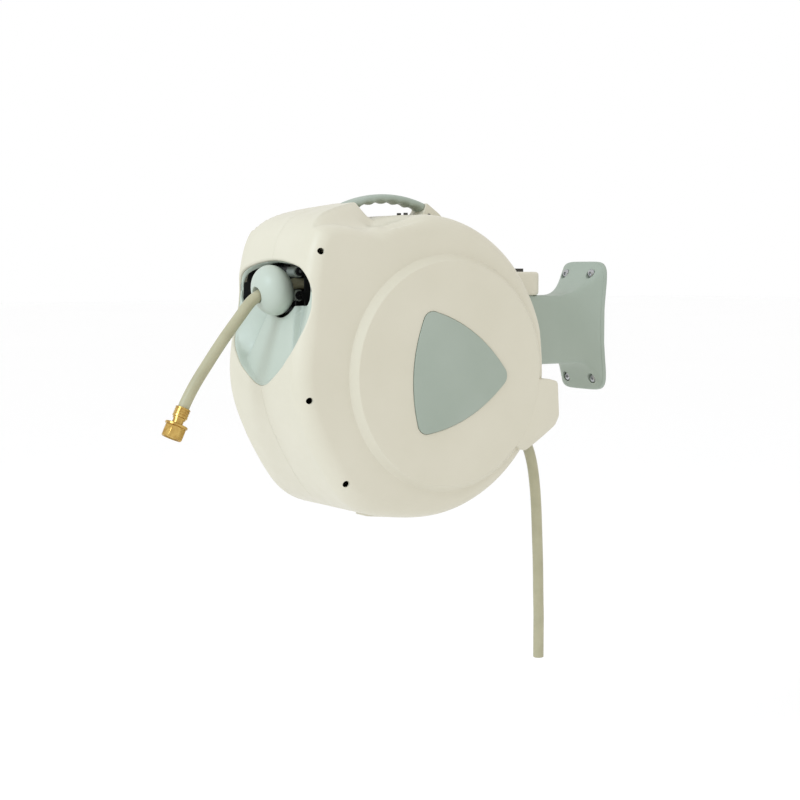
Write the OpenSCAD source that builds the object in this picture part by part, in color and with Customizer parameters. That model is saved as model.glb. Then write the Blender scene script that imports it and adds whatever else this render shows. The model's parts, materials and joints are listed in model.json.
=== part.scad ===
// Wall mounted retractable hose reel.
// Origin: middle of the wall plate's back face. The wall is the plane y = 0, the reel hangs on the -y side,
// +z is up. Outlines of the reel are drawn as [forward, up] about the drum axis, which runs along x.

/* [Placement] */
// Distance of the hinge pin from the wall
hinge_out = 139; // [136:1:150]
// Distance from the hinge pin to the drum axis
hinge_reach = 210; // [208:1:222]
// How far the drum axis lies below the middle of the wall plate
axis_drop = 59; // [52:1:64]

/* [Casing] */
// Radius of the round casing band
casing_r = 215; // [212:1:225]
// How far the band's centre lies in front of the drum axis
casing_f = 31; // [28:1:34]
// How far the band's centre lies above the drum axis
casing_z = 10; // [6:1:12]
// Room between the drum and the casing's rim on each side
side_room = 44; // [42:1:50]
// Thickness of the casing's wall
casing_wall = 3; // [2.5:0.1:4]
// Rounding between the band and the sides
edge_r = 24; // [20:1:28]
// Radius of the raised round field on each side
plateau_r = 160; // [154:1:164]
// Height of the raised round field
plateau_rise = 10; // [8:0.5:12]
// Width of the sloping step round the raised field
plateau_step = 10; // [8:0.5:12]
// Distance of the flat back from the drum axis
rear_flat = 178; // [176:1:181]
// How far the band's chin stands out, low in front
chin_rise = 13; // [10:1:15]
// Angle of the chin above the forward direction, degrees
chin_angle = -49; // [-52:1:-46]
// Angle over which the chin fades out, degrees
chin_spread = 15; // [13:1:17]

/* [Hood] */
// Distance of the hood's front face from the drum axis
hood_front = 249; // [247:1:252]
// Backward lean of the hood's front face, degrees
hood_front_lean = 8; // [6:1:10]
// Distance of the hood's top face from the drum axis
hood_top = 257; // [254:1:260]
// Forward slope of the hood's top face, degrees
hood_top_slope = 10; // [8:1:12]
// Softness of the corner between the front and the top
hood_blend = 27; // [22:1:30]
// Angle above the forward direction where the hood ends behind, degrees
hood_end = 66; // [64:1:67]
// Rounding of the hood's upright edges
hood_edge_r = 22; // [18:1:26]
// Angle where the hood's front starts to stand out from the band, degrees
hood_start = -20; // [-24:1:-16]
// Angle from which the hood narrows towards the grip, degrees
hood_taper = 44; // [42:1:46]
// Half width of the hood at its rear end
hood_rear_w = 54; // [50:1:60]
// Width of the slope at the hood's sides
hood_slope_w = 30; // [26:1:34]

/* [Mouth] */
// Width of casing left on each side of the mouth
mouth_margin = 5.5; // [4.5:0.5:7]
// Height of the mouth's top above the drum axis
mouth_top = 160; // [158:1:162]
// Depth of the mouth's tip below the drum axis
mouth_drop = 13; // [10:1:16]
// Width of mouth left on each side of the hose slot
slot_margin = 8; // [7:0.5:12]
// Height of the hose slot
slot_h = 43; // [38:1:46]
// Forward distance of the floor of the mouth round the slot
slot_floor_f = 211; // [209:0.5:213]
// Half width of the raised tongue below the slot
tongue_half_w = 38; // [32:1:42]
// Wall of the mouth insert
insert_wall = 3; // [2.5:0.1:3.5]

/* [Handle] */
// Radius of the grip's arched back
grip_arc_r = 187; // [180:1:195]
// Height of the grip's highest point above the drum axis
grip_top = 256; // [254:1:260]
// Thickness of the grip
grip_t = 14; // [12:0.5:16]
// Width of the grip
grip_w = 30; // [26:1:34]
// Depth of the finger scallops
scallop_d = 2.5; // [1.5:0.1:3]

/* [Wall bracket] */
// Width of the wall plate at its ends
plate_w = 118; // [112:1:124]
// Height of the wall plate
plate_h = 203; // [196:1:210]
// Thickness of the wall plate
plate_t = 6; // [5:0.5:8]
// How far the plate's sides are drawn in at the middle
plate_waist = 9; // [5:0.5:12]
// Spacing of the wall screws across
wall_screw_dx = 60; // [56:1:70]
// Spacing of the wall screws up and down
wall_screw_dz = 165; // [160:1:172]
// Radius of the wall screw holes
wall_hole_r = 3.5; // [3:0.1:4]
// Width of the neck between plate and hinge
neck_w = 52; // [48:1:54]
// Height of the neck's top above the middle of the plate
neck_rise = 49; // [45:1:52]
// Depth of the neck's underside below the middle of the plate
neck_sink = 58; // [54:1:60]
// Length of the flare from the neck up to the plate
top_flare = 72; // [64:1:80]
// Length of the flare from the neck out to the plate's sides
side_flare = 72; // [64:1:80]
// Length of the flare from the neck down to the plate
low_flare = 34; // [28:1:40]

/* [Hinge] */
// Radius of the hinge pin
pin_r = 6; // [5:0.25:7]
// Radius of the casing's hinge ears
ear_r = 32; // [28:1:34]
// Height of each hinge ear
ear_h = 36; // [30:1:38]

/* [Drum] */
// Inside width of the drum between its flanges
drum_w = 120; // [118:1:122]
// Radius of the drum flanges
flange_r = 150; // [146:1:151]
// Thickness of the drum flanges
flange_t = 4; // [3:0.5:4]
// Radius of the drum hub
hub_r = 62; // [58:1:66]
// Wall of the drum hub
hub_wall = 3; // [2.5:0.5:4]
// Radius of the fixed spring arbor
arbor_r = 12; // [10:0.5:14]
// Radius of the brass inlet stem
stem_r = 10; // [9:0.5:11]
// Number of turns of the power spring
spring_turns = 7; // [5:1:8]

/* [Hose] */
// Outside diameter of the hose
hose_d = 16; // [15:0.5:16.5]
// Radius of the hose's bore
hose_bore_r = 6.25; // [5.5:0.05:6.5]
// Distance between neighbouring turns on the drum
hose_pitch = 17; // [16.5:0.1:17]
// Radius of the outer layer, at the middle of the hose
winding_r = 130; // [124:1:132]
// Loops of the outer layer that are on the drum
winding_loops = 3; // [2:1:3]

/* [Stopper] */
// Radius of the stopper ball
ball_r = 35.5; // [33:0.5:37]
// Half length of the stopper ball along the hose
ball_half_l = 27; // [25:0.5:28]
// Forward distance of the ball's middle
ball_f = 228; // [227:0.5:231]
// Height of the ball's middle
ball_z = 118.6; // [117:0.1:120]
// Downward tilt of the ball and its bore, degrees
ball_tilt = 14; // [13:0.5:15]

/* [Guide] */
// Tooth size of the guide gears
gear_module = 3; // [3:1:3]
// Teeth of the drum gear
drum_teeth = 32; // [32:1:32]
// Teeth of the idler gear
idler_teeth = 52; // [52:2:52]
// Teeth of the screw gear
screw_teeth = 16; // [16:1:16]
// Direction of the gear train above the forward direction, degrees
train_angle = 41; // [40:0.5:42]
// Width of the guide gears
gear_w = 8; // [6:0.5:8]
// Play between meshing teeth
gear_play = 0.5; // [0.4:0.05:0.7]
// Radius of the traverse screw
screw_r = 7; // [6:0.5:8]
// Radius of the guide rod
rod_r = 6; // [5:0.5:7]
// Forward distance of the guide rod
rod_f = 184; // [183:0.5:185]
// Height of the guide rod above the drum axis
rod_z = 86; // [84:1:88]
// Radius of the guide rollers
roller_r = 8; // [7:0.5:8.5]
// Length of the guide rollers
roller_l = 20; // [18:0.5:20]
// Forward distance of the guide rollers
roller_f = 191; // [190:0.5:191.5]

/* [Ratchet] */
// Tip radius of the ratchet ring
ratchet_r = 112; // [108:1:114]
// Depth of the ratchet teeth
ratchet_depth = 10; // [8:0.5:11]
// Number of ratchet teeth
ratchet_teeth = 18; // [16:1:18]
// Direction of the pawl's pin below the forward direction, degrees
pawl_angle = 60; // [55:1:65]

/* [Hidden] */
$fn = 64;

// Colours, as the photo shows them
cream = [0.87, 0.85, 0.78];
sage = [0.62, 0.67, 0.61];
pale_sage = [0.74, 0.79, 0.75];
hose_colour = [0.76, 0.74, 0.63];
brass = [0.80, 0.64, 0.30];
steel = [0.62, 0.63, 0.64];
dark_steel = [0.25, 0.25, 0.26];
black_rubber = [0.10, 0.10, 0.10];
grey_plastic = [0.40, 0.42, 0.42];

// Clearances and the overrun of every cut
fit = 0.3;
run_fit = 0.05;
press_gap = 0.02;
over = 1;

// Drum axis in the wall's frame
axis_y = -(hinge_out + hinge_reach);
axis_z = -axis_drop;

// Casing form
casing_steps = 90;
edge_steps = 4;
casing_half_w = drum_w / 2 + side_room;
mouth_half_w = casing_half_w - mouth_margin;
slot_half_w = mouth_half_w - slot_margin;
plateau_x = casing_half_w + plateau_rise;
plateau_round = 2;
hood_fall = 1.5;
hood_full_rise = 45;
rear_share = 0.5;
band_offset = norm([casing_f, casing_z]);
band_turn = atan2(casing_z, casing_f);

// Radius of the plain round band, seen from the drum axis
function circle_r(a) = band_offset * cos(a - band_turn)
    + sqrt(pow(casing_r, 2) - pow(band_offset * sin(a - band_turn), 2));
// Angle from one direction to another, between -180 and 180 degrees
function turn_from(a, b) = (a - b + 540) % 360 - 180;
// Radius of the band with its chin, without the hood
function plain_r(a) = circle_r(a) + chin_rise * exp(-pow(turn_from(a, chin_angle) / chin_spread, 2));
// Radius of the hood: its front and top faces, blended at their corner
function hood_r(a) = let (s = max(turn_from(a, 0), hood_front_lean), front = hood_front / cos(s - hood_front_lean),
    top = hood_top / cos(s - 90 + hood_top_slope))
    -hood_blend * ln(exp(-front / hood_blend) + exp(-top / hood_blend));
// 0 below the hood, rising softly to 1 on it, and 0 behind its end
function hood_on(a) = let (s = turn_from(a, 0), t = max(0, min(1, (s - hood_start) / (hood_front_lean - hood_start))))
    s > hood_end + hood_fall ? 0 : min(t * t * (3 - 2 * t), (hood_end + hood_fall - s) / hood_fall);
// Radius of the casing's outline at an angle above the forward direction
function band_r(a) = let (plain = plain_r(a), flat = cos(a) < -rear_share ? -rear_flat / cos(a) : plain)
    min(flat, plain) + hood_on(a) * max(0, hood_r(a) - plain);
function hood_share(a) = min(1, (band_r(a) - min(band_r(a), plain_r(a))) / hood_full_rise);
// Half width of the hood with its slope, the share of the hood's rise at a place across, and the radius there
function hood_w(a) = let (s = turn_from(a, 0), full = casing_half_w - edge_r + hood_slope_w + over)
    full - (full - hood_rear_w) * max(0, min(1, (s - hood_taper) / (hood_end - hood_taper)));
function across_r(a, x) = let (plain = min(band_r(a), plain_r(a)), t = max(0, min(1, (hood_w(a) - x) / hood_slope_w)))
    plain + (band_r(a) - plain) * t * t * (3 - 2 * t);
function rim_edge(a) = edge_r + (hood_edge_r - edge_r) * hood_share(a);
function rim_r(a) = across_r(a, casing_half_w - rim_edge(a));
function rim_drop(a) = min(rim_edge(a), rim_r(a) - plateau_r - plateau_step - over);

// Section of one half of the casing as [across, radius], set in by a wall thickness
slope_shares = [1, 0.75, 0.5, 0.25, 0];
flat_share = 0.9;
function casing_rows(a, wall) = let (r = rim_r(a), w = casing_half_w, e = rim_edge(a), d = rim_drop(a)) concat(
    [[0, band_r(a) - wall]],
    [for (s = slope_shares) let (x = min(hood_w(a) - s * hood_slope_w, (w - e) * (flat_share - s / 2)))
        [x, across_r(a, x) - wall]],
    [for (i = [0:edge_steps]) let (t = 90 * i / edge_steps)
        [w - e + e * sin(t) - wall * sin(t), r - d + d * cos(t) - wall * cos(t)]],
    [[w - wall, plateau_r + plateau_step - wall / 2],
     [plateau_x - plateau_round - wall, plateau_r + plateau_round - wall],
     [plateau_x - wall, plateau_r - plateau_round - wall]]);
casing_row_count = edge_steps + len(slope_shares) + 5;

// Angles of the casing's sections, two of them set on the hood's end
casing_step = 360 / casing_steps;
hood_end_step = floor(hood_end / casing_step);
function casing_a(i) = i == hood_end_step ? hood_end : i == hood_end_step + 1 ? hood_end + hood_fall : i * casing_step;
function casing_points(wall) = concat(
    [for (j = [0:casing_row_count - 1]) for (i = [0:casing_steps - 1])
        let (a = casing_a(i), p = casing_rows(a, wall)[j]) [p[0], -p[1] * cos(a), p[1] * sin(a)]],
    [[plateau_x - wall, 0, 0]]);
casing_point_count = casing_row_count * casing_steps + 1;
function skin_faces(first, flip) = concat(
    [for (j = [0:casing_row_count - 2]) for (i = [0:casing_steps - 1])
        let (k = (i + 1) % casing_steps, a = first + j * casing_steps, b = a + casing_steps)
        each flip ? [[a + i, b + i, b + k], [a + i, b + k, a + k]]
                  : [[a + i, b + k, b + i], [a + i, a + k, b + k]]],
    [for (i = [0:casing_steps - 1]) let (k = (i + 1) % casing_steps,
        a = first + (casing_row_count - 1) * casing_steps, top = first + casing_point_count - 1)
        flip ? [a + i, top, a + k] : [a + i, a + k, top]]);
function seam_faces() = [for (i = [0:casing_steps - 1]) let (k = (i + 1) % casing_steps, b = casing_point_count)
    each [[i, b + i, b + k], [i, b + k, k]]];

// Forward distance of the casing's skin at a place on its front, found in a few steps
front_tries = 8;
function front_f(z, f = hood_front, tries = front_tries) = tries == 0 ? f :
    front_f(z, sqrt(pow(band_r(atan2(z, f)), 2) - pow(z, 2)), tries - 1);
function skin_f(x, z) = let (f = front_f(z), a = atan2(z, f), inner = casing_half_w - rim_edge(a),
    s = max(0, min(1, (abs(x) - inner) / rim_edge(a)))) f - rim_drop(a) * (1 - sqrt(1 - s * s));

// Mouth outline: half widths as shares of the mouth's half width, heights as shares of its height
mouth_shares = [[0, 0], [0.142, 0.0145], [0.264, 0.046], [0.462, 0.113], [0.6, 0.17], [0.7, 0.228], [0.772, 0.269],
    [0.853, 0.331], [0.904, 0.398], [0.949, 0.464], [0.98, 0.538], [0.998, 0.607], [1, 0.67], [0.985, 0.746],
    [0.939, 0.812], [0.843, 0.864], [0.69, 0.9075], [0.508, 0.942], [0.274, 0.977], [0, 1]];
mouth_h = mouth_top + mouth_drop;
mouth_half = [for (s = mouth_shares) [s[0] * mouth_half_w, s[1] * mouth_h - mouth_drop]];
mouth_outline = concat(mouth_half, [for (i = [len(mouth_half) - 2:-1:1]) [-mouth_half[i][0], mouth_half[i][1]]]);
mouth_count = len(mouth_outline);
mouth_mid = [0, mouth_top - mouth_h / 2];
function inset_point(p, d) = p - d * (p - mouth_mid) / norm(p - mouth_mid);
lip_depth = 2.5;
floor_sink = 4;
floor_mid_share = 0.55;
slot_low = ball_z - slot_h / 2;
slot_rim = 7;
mouth_reach = 40;
// Forward distance of the insert's floor: flush at the tip, deep round the slot
function tongue_f(z) = z > slot_low ? slot_floor_f :
    slot_floor_f + (front_f(-mouth_drop) - floor_sink - slot_floor_f) * (slot_low - z) / (slot_low + mouth_drop);
tongue_rise = 8;
function floor_f(x, z) = min(skin_f(x, z) - floor_sink, tongue_f(z) - tongue_rise);
// Rings of the insert, from its rim over the floor to the middle
function insert_ring(d, share) = [for (p = mouth_outline) let (q = inset_point(p, d)) mouth_mid + share * (q - mouth_mid)];

// Winding of the outer layer
loop_rings = 24;
winding_sides = 6;
winding_room = 1;
winding_end_x = hose_pitch * winding_loops + hose_d / 2 + winding_room - drum_w / 2;
lead_z = ball_z + (ball_f - roller_f) * tan(ball_tilt);
leave_angle = atan2(lead_z, roller_f) + acos(winding_r / norm([roller_f, lead_z]));
winding_rings = winding_loops * loop_rings;
function winding_at(i) = let (a = leave_angle + 360 * (winding_rings - i) / loop_rings)
    [winding_end_x - hose_pitch * (winding_rings - i) / loop_rings, -winding_r * cos(a), winding_r * sin(a)];
function unit(v) = v / norm(v);
winding_start_dir = unit(winding_at(1) - winding_at(0));
lead_start = winding_at(winding_rings);
lead_dir = unit([0, -roller_f, lead_z] - lead_start);
winding_path = concat([winding_at(0) - winding_start_dir * hose_d], [for (i = [0:winding_rings]) winding_at(i)],
    [lead_start + lead_dir * hose_d]);
winding_gap = min([for (i = [0:winding_rings]) for (j = [i + loop_rings / 2:winding_rings])
    norm(winding_at(i) - winding_at(j))]) - hose_d;
echo(least_winding_gap = winding_gap);

// Hose routes, as [forward, up] about the drum axis
outlet_route = [[204, 124.6], [220, 120.6], [236, 116.6], [244, 114], [252, 110.2], [261, 104], [268.5, 96.3],
    [280, 82.6], [294, 65.9], [307, 50], [320, 33], [333, 15.5], [345, -1], [356, -18], [365, -34], [373, -51]];
leader_route = [[-148, -88], [-157, -106], [-166, -124], [-173, -148], [-178, -180], [-181, -215], [-183, -255],
    [-185, -300], [-186, -345], [-187, -375], [-187, -400]];
inlet_route = [[-30, -9], [-48, -14], [-66, -19], [-91, -29.5], [-114, -45], [-134, -64], [-143.5, -79], [-148, -88]];
leader_tail_l = 40;
hose_sides = 10;

// Hose end fittings, along the outlet's last stretch
outlet_end = outlet_route[len(outlet_route) - 1];
outlet_last = outlet_route[len(outlet_route) - 2];
outlet_lean = atan2(outlet_end[0] - outlet_last[0], outlet_last[1] - outlet_end[1]);
ferrule_r = 10.5;
ferrule_l = 14;
tail_collar_r = 9;
tail_l = 30;
nut_r = 15;
nut_l = 17;
nut_thread_r = 12.3;
nut_thread_l = 11.5;
nut_sides = 8;
nut_rim_r = 16;
nut_rim_l = 4;
washer_t = 2.5;
tail_bore_r = 5.5;
tail_neck_r = 7.6;
tail_shoulder_r = 11.4;
tail_shoulder_t = 2.5;

// Drum layout across
drum_x = drum_w / 2;
flange_x = drum_x + flange_t;
gear_gap = 3;
boss_gap = 5;
frame_gap = 1;
bush_t = 3;
gear_x = flange_x + gear_gap;
frame_t = 4;
left_frame_x = gear_x + gear_w + boss_gap;
ratchet_w = 5;
ratchet_gap = 0.6;
right_frame_x = flange_x + ratchet_w + frame_gap;
right_frame_t = 3;
leader_room = 2;
leader_x = right_frame_x + right_frame_t + hose_d / 2 + leader_room;
left_bush_r = arbor_r + bush_t;
manifold_r = stem_r * 2;
manifold_l = 40;
manifold_x = flange_x - manifold_l;
stem_reach = 46;
stem_x = flange_x - stem_reach;
stem_bore_r = 5;
barb_inset = 20;
barb_x = drum_x - barb_inset;
barb_r = 8;
barb_seat = 12;
barb_bore_r = 5;
core_gap = 1.5;

// Guide layout
drum_pitch_r = gear_module * drum_teeth / 2;
idler_pitch_r = gear_module * idler_teeth / 2;
screw_pitch_r = gear_module * screw_teeth / 2;
idler_at = (drum_pitch_r + idler_pitch_r) * [cos(train_angle), sin(train_angle)];
screw_at = (drum_pitch_r + 2 * idler_pitch_r + screw_pitch_r) * [cos(train_angle), sin(train_angle)];
rod_at = [rod_f, rod_z];
roller_gap = 0.6;
roller_off = hose_d / 2 + roller_r + roller_gap;
roller_pin_r = 2.5;
cheek_gap = 0.5;
cheek_x = roller_l / 2 + cheek_gap;
cheek_t = 3;
screw_sleeve_t = 4;
screw_sleeve_r = screw_r + screw_sleeve_t;
rod_sleeve_t = 5;
rod_sleeve_r = rod_r + rod_sleeve_t;
pin_boss_r = 6;
idler_pin_r = 6;
idler_boss_r = 14;
frame_disc_r = 60;
frame_arm_w = 28;
standoff_r = 7;
standoff_ring_r = 48;
left_standoffs = [100, 190, 280, 0];
right_standoffs = [20, 110, 300];

// Ratchet layout
pawl_off = 17;
pawl_ring_r = ratchet_r + pawl_off;
pawl_pin_r = 3;
pawl_l = 34;
pawl_eye_r = 8;
pawl_nose_w = 6;
pawl_clear = 2;
tooth_share = 0.4;
pawl_tip_angle = atan2(pawl_l, pawl_ring_r);

// Casing screws: angles about the drum axis, of those driven from the right and from the left
right_screws = [39, -7, -40];
left_screws = [-66, 84, 122, 232, 262];
boss_inset = 14;
boss_r = 7;
casing_screw_r = 2.2;
casing_head_r = 4.4;
casing_head_h = 3;
boss_cup = 12;
pilot_l = 24;

// Wall bracket form
bracket_sides = 48;
flare_steps = 8;
flare_power = 2.5;
plate_round = 4;
plate_square = 5.5;
neck_square = 12;
wall_head_r = 7;
wall_seat = 5;

// Hinge layout
hinge_gap = 0.3;
strap_gap = 6;
strap_r = flange_r + strap_gap;
strap_t = 4;
strap_from = 118;
strap_to = 198;
strap_step = 5;
strap_half_w = 40;
pin_head_r = 8.5;
pin_head_h = 5;
pin_tail = 8;
upper_ear_z = neck_rise + hinge_gap;
lower_ear_z = -neck_sink - hinge_gap - ear_h;

// Tail of the right shell, where the leader hose leaves, as [forward, up]
tail_side = 23;
tail_x0 = leader_x - tail_side;
tail_top_z = -13.5;
tail_back_f = -200;
tail_low_z = -119;
tail_shares = [[0.60, 0], [0.89, 0], [0.985, 0.045], [1, 0.535], [0.96, 0.67], [0.81, 0.85], [0.67, 1], [0.52, 0.85]];
tail_outline = [for (s = tail_shares) [s[0] * tail_back_f, tail_top_z + s[1] * (tail_low_z - tail_top_z)]];
grommet_r = 12;
grommet_flange_r = 14.5;
grommet_l = 12;
grommet_back = 9;
grommet_flange_t = 2.5;
grommet_at = leader_route[1];
grommet_turn = atan2(leader_route[2][1] - leader_route[0][1], leader_route[2][0] - leader_route[0][0]);

// Handle
grip_f = 40;
grip_arc_z = grip_top - grip_arc_r;
grip_front_a = 66.5;
grip_rear_a = 110;
grip_steps = 48;
scallop_count = 6;
grip_tenon_w = 22;
grip_tenon_h = 5;
grip_tenon_f = 128;
grip_tenon_turn = 3;
post_w = 34;
post_tenon_w = 22;
post_back_f = -64;
post_front_f = -6;
tenon_depth = 12;
handle_screw_r = 3.2;
peg_f = 8;
peg_h = 6;
post_screw = [-28, 226];

// Badge
badge_reach = 97;
badge_corner_r = 16;
badge_side_r = 230;
badge_turn = 184;
badge_t = 3.5;
badge_pocket = 1.5;
badge_groove = 0.8;
badge_steps = 8;
badge_arc_half = 46;

// Foot
foot_l = 48;
foot_w = 30;
foot_h = 6;
foot_f = 57;
foot_stud_r = 5;
foot_stud_l = 12;

module at_axis() translate([0, axis_y, axis_z]) children();
// Draws an outline given as [forward, up] across the reel, from x0 to x1
module across(x0, x1) translate([x1, 0, 0]) rotate([90, 0, -90]) linear_extrude(x1 - x0) children();
// A round bar along x, at a place given as [forward, up]
module bar(at, x0, x1, r) translate([x0, -at[0], at[1]]) rotate([0, 90, 0]) cylinder(h = x1 - x0, r = r);
module tube(at, x0, x1, r, bore) difference() {
    bar(at, x0, x1, r);
    bar(at, x0 - over, x1 + over, bore);
}
// Stands a piece that is drawn along +z at a place, leaning forward by an angle
module lean(at, angle, x = 0) translate([x, -at[0], at[1]]) rotate([angle, 0, 0]) children();

// Swept hose: rings square to the path, joined into one closed skin
function path_dir(path, i) = unit(path[min(i + 1, len(path) - 1)] - path[max(i - 1, 0)]);
function ring_side(d) = let (s = cross(d, [1, 0, 0])) norm(s) < 0.1 ? unit(cross(d, [0, 1, 0])) : unit(s);
function sweep_points(path, r, sides) = [for (i = [0:len(path) - 1])
    let (d = path_dir(path, i), s = ring_side(d), t = cross(d, s))
    for (k = [0:sides - 1]) path[i] + r * (cos(360 * k / sides) * s + sin(360 * k / sides) * t)];
function sweep_faces(rings, sides) = concat(
    [for (i = [0:rings - 2]) for (k = [0:sides - 1]) let (n = (k + 1) % sides, a = i * sides, b = a + sides)
        each [[a + k, b + k, b + n], [a + k, b + n, a + n]]],
    [for (k = [1:sides - 2]) [0, k, k + 1]],
    [for (k = [1:sides - 2]) let (a = (rings - 1) * sides) [a, a + k + 1, a + k]]);
module sweep(path, r, sides) polyhedron(sweep_points(path, r, sides), sweep_faces(len(path), sides));
function in_plane(route, x) = [for (p = route) [x, -p[0], p[1]]];

// Involute gear outline
pressure_angle = 20;
root_share = 1.25;
tip_share = 0.95;
function involute(a) = tan(a) - a * PI / 180;
function tooth_half(r, teeth) = let (pitch_r = gear_module * teeth / 2, base_r = pitch_r * cos(pressure_angle),
    a = acos(min(1, base_r / max(r, base_r))))
    90 / teeth + (involute(pressure_angle) - involute(a) - gear_play / (4 * pitch_r)) * 180 / PI;
function polar(r, a) = [r * cos(a), r * sin(a)];
module gear_outline(teeth, phase) {
    pitch_r = gear_module * teeth / 2;
    root_r = pitch_r - root_share * gear_module;
    tip_r = pitch_r + tip_share * gear_module;
    flank = [root_r, pitch_r - gear_module / 2, pitch_r, pitch_r + gear_module / 2, tip_r];
    polygon([for (t = [0:teeth - 1]) let (a = phase + 360 * t / teeth) each concat(
        [for (i = [0:4]) polar(flank[i], a - tooth_half(flank[i], teeth))],
        [for (i = [4:-1:0]) polar(flank[i], a + tooth_half(flank[i], teeth))])]);
}

// Wall bracket: a plate that flares into the neck, with a round knuckle about the hinge pin
function power_cos(t, n) = sign(cos(t)) * pow(abs(cos(t)), 2 / n);
function power_sin(t, n) = sign(sin(t)) * pow(abs(sin(t)), 2 / n);
// Share of the flare that is left at a distance from the wall: 1 at the plate, 0 on the neck
function flare_left(out, reach) = out <= plate_t ? 1 : out >= plate_t + reach ? 0 :
    pow(1 - (out - plate_t) / reach, flare_power);
function bracket_ring(out, inset) = let (
    side = flare_left(out, side_flare), top = flare_left(out, top_flare), low = flare_left(out, low_flare),
    half_w = neck_w / 2 + side * (plate_w - neck_w) / 2 - inset,
    high_z = neck_rise + top * (plate_h / 2 - neck_rise) - inset,
    low_z = -neck_sink - low * (plate_h / 2 - neck_sink) + inset,
    n = neck_square + side * (plate_square - neck_square))
    [for (i = [0:bracket_sides - 1]) let (t = 360 * (i + 0.5) / bracket_sides, z = power_sin(t, n))
        [power_cos(t, n) * (half_w - side * plate_waist * (1 - z * z)), -out,
            (high_z + low_z) / 2 + z * (high_z - low_z) / 2]];
bracket_outs = concat([0, plate_t - plate_round, plate_t],
    [for (i = [1:flare_steps]) plate_t + top_flare * (1 - cos(90 * i / flare_steps))], [hinge_out]);
bracket_points = [for (out = bracket_outs) each bracket_ring(out, out == plate_t ? plate_round / 2 : 0)];
module at_wall_screws() for (x = [-1, 1], z = [-1, 1])
    translate([x * wall_screw_dx / 2, 0, z * wall_screw_dz / 2]) rotate([90, 0, 0]) children();
module wall_bracket() color(sage) difference() {
    union() {
        polyhedron(bracket_points, sweep_faces(len(bracket_outs), bracket_sides));
        translate([0, -hinge_out, -neck_sink]) cylinder(h = neck_rise + neck_sink, r = neck_w / 2);
    }
    translate([0, -hinge_out, -neck_sink - over])
        cylinder(h = neck_rise + neck_sink + 2 * over, r = pin_r + run_fit);
    at_wall_screws() {
        translate([0, 0, -over]) cylinder(h = plate_t + 2 * over, r = wall_hole_r);
        translate([0, 0, wall_seat]) cylinder(h = hinge_out, r = wall_head_r + fit);
    }
}

// Hinge pin, with its head above the upper ear and its tail below the lower one
module hinge_pin() color(dark_steel) translate([0, -hinge_out, 0]) {
    translate([0, 0, lower_ear_z - pin_tail])
        cylinder(h = upper_ear_z + ear_h - lower_ear_z + pin_tail, r = pin_r);
    translate([0, 0, upper_ear_z + ear_h]) cylinder(h = pin_head_h, r = pin_head_r);
}
// Plan of one ear: round about the pin, straight into the casing as far as the strap
module ear_plan(gap) {
    circle(r = ear_r + gap);
    translate([-ear_r - gap, -hinge_reach]) square([2 * (ear_r + gap), hinge_reach]);
}
module ears(gap) translate([0, -hinge_out, 0]) for (z = [upper_ear_z, lower_ear_z])
    translate([0, 0, z - gap]) linear_extrude(ear_h + 2 * gap) ear_plan(gap);
module hinge_yoke() color(cream) difference() {
    union() {
        difference() {
            ears(0);
            at_axis() bar([0, 0], -plateau_x, plateau_x, strap_r + strap_t / 2);
        }
        at_axis() across(-strap_half_w, strap_half_w) polygon(concat(
            [for (a = [strap_from:strap_step:strap_to]) polar(strap_r, a)],
            [for (a = [strap_to:-strap_step:strap_from]) polar(strap_r + strap_t, a)]));
    }
    translate([0, -hinge_out, lower_ear_z - over])
        cylinder(h = upper_ear_z - lower_ear_z + ear_h + 2 * over, r = pin_r + run_fit);
}

// Casing shells
function screw_place(a) = polar(band_r(a) - boss_inset, a);
// Where a boss at the edge meets the middle of the casing's wall, and where its screw head sits
function boss_end(a) = let (d = rim_drop(a), t = acos((d - boss_inset + boss_r) / d))
    casing_half_w - rim_edge(a) + (rim_edge(a) - casing_wall / 2) * sin(t);
function head_seat(a) = boss_end(a) - boss_cup;
module shell_form() polyhedron(concat(casing_points(0), casing_points(casing_wall)),
    concat(skin_faces(0, false), skin_faces(casing_point_count, true), seam_faces()), convexity = 8);
module mouth_cut(gap) at_axis() translate([0, -slot_floor_f + mouth_reach, 0])
    rotate([90, 0, 0]) linear_extrude(casing_r) polygon([for (p = mouth_outline) inset_point(p, gap)]);
module bosses() for (a = concat(right_screws, left_screws)) bar(screw_place(a), fit / 2, boss_end(a), boss_r);
module handle_pegs() translate([post_w / 4, -peg_f, band_top(peg_f) - 2 * casing_wall])
    cylinder(h = 4 * casing_wall, r = handle_screw_r + press_gap);
module tenon_holes() {
    across(-grip_tenon_w / 2 - fit, grip_tenon_w / 2 + fit) grip_tenon(fit);
    across(-post_tenon_w / 2 - fit, post_tenon_w / 2 + fit) post_tenon(fit);
}
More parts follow.
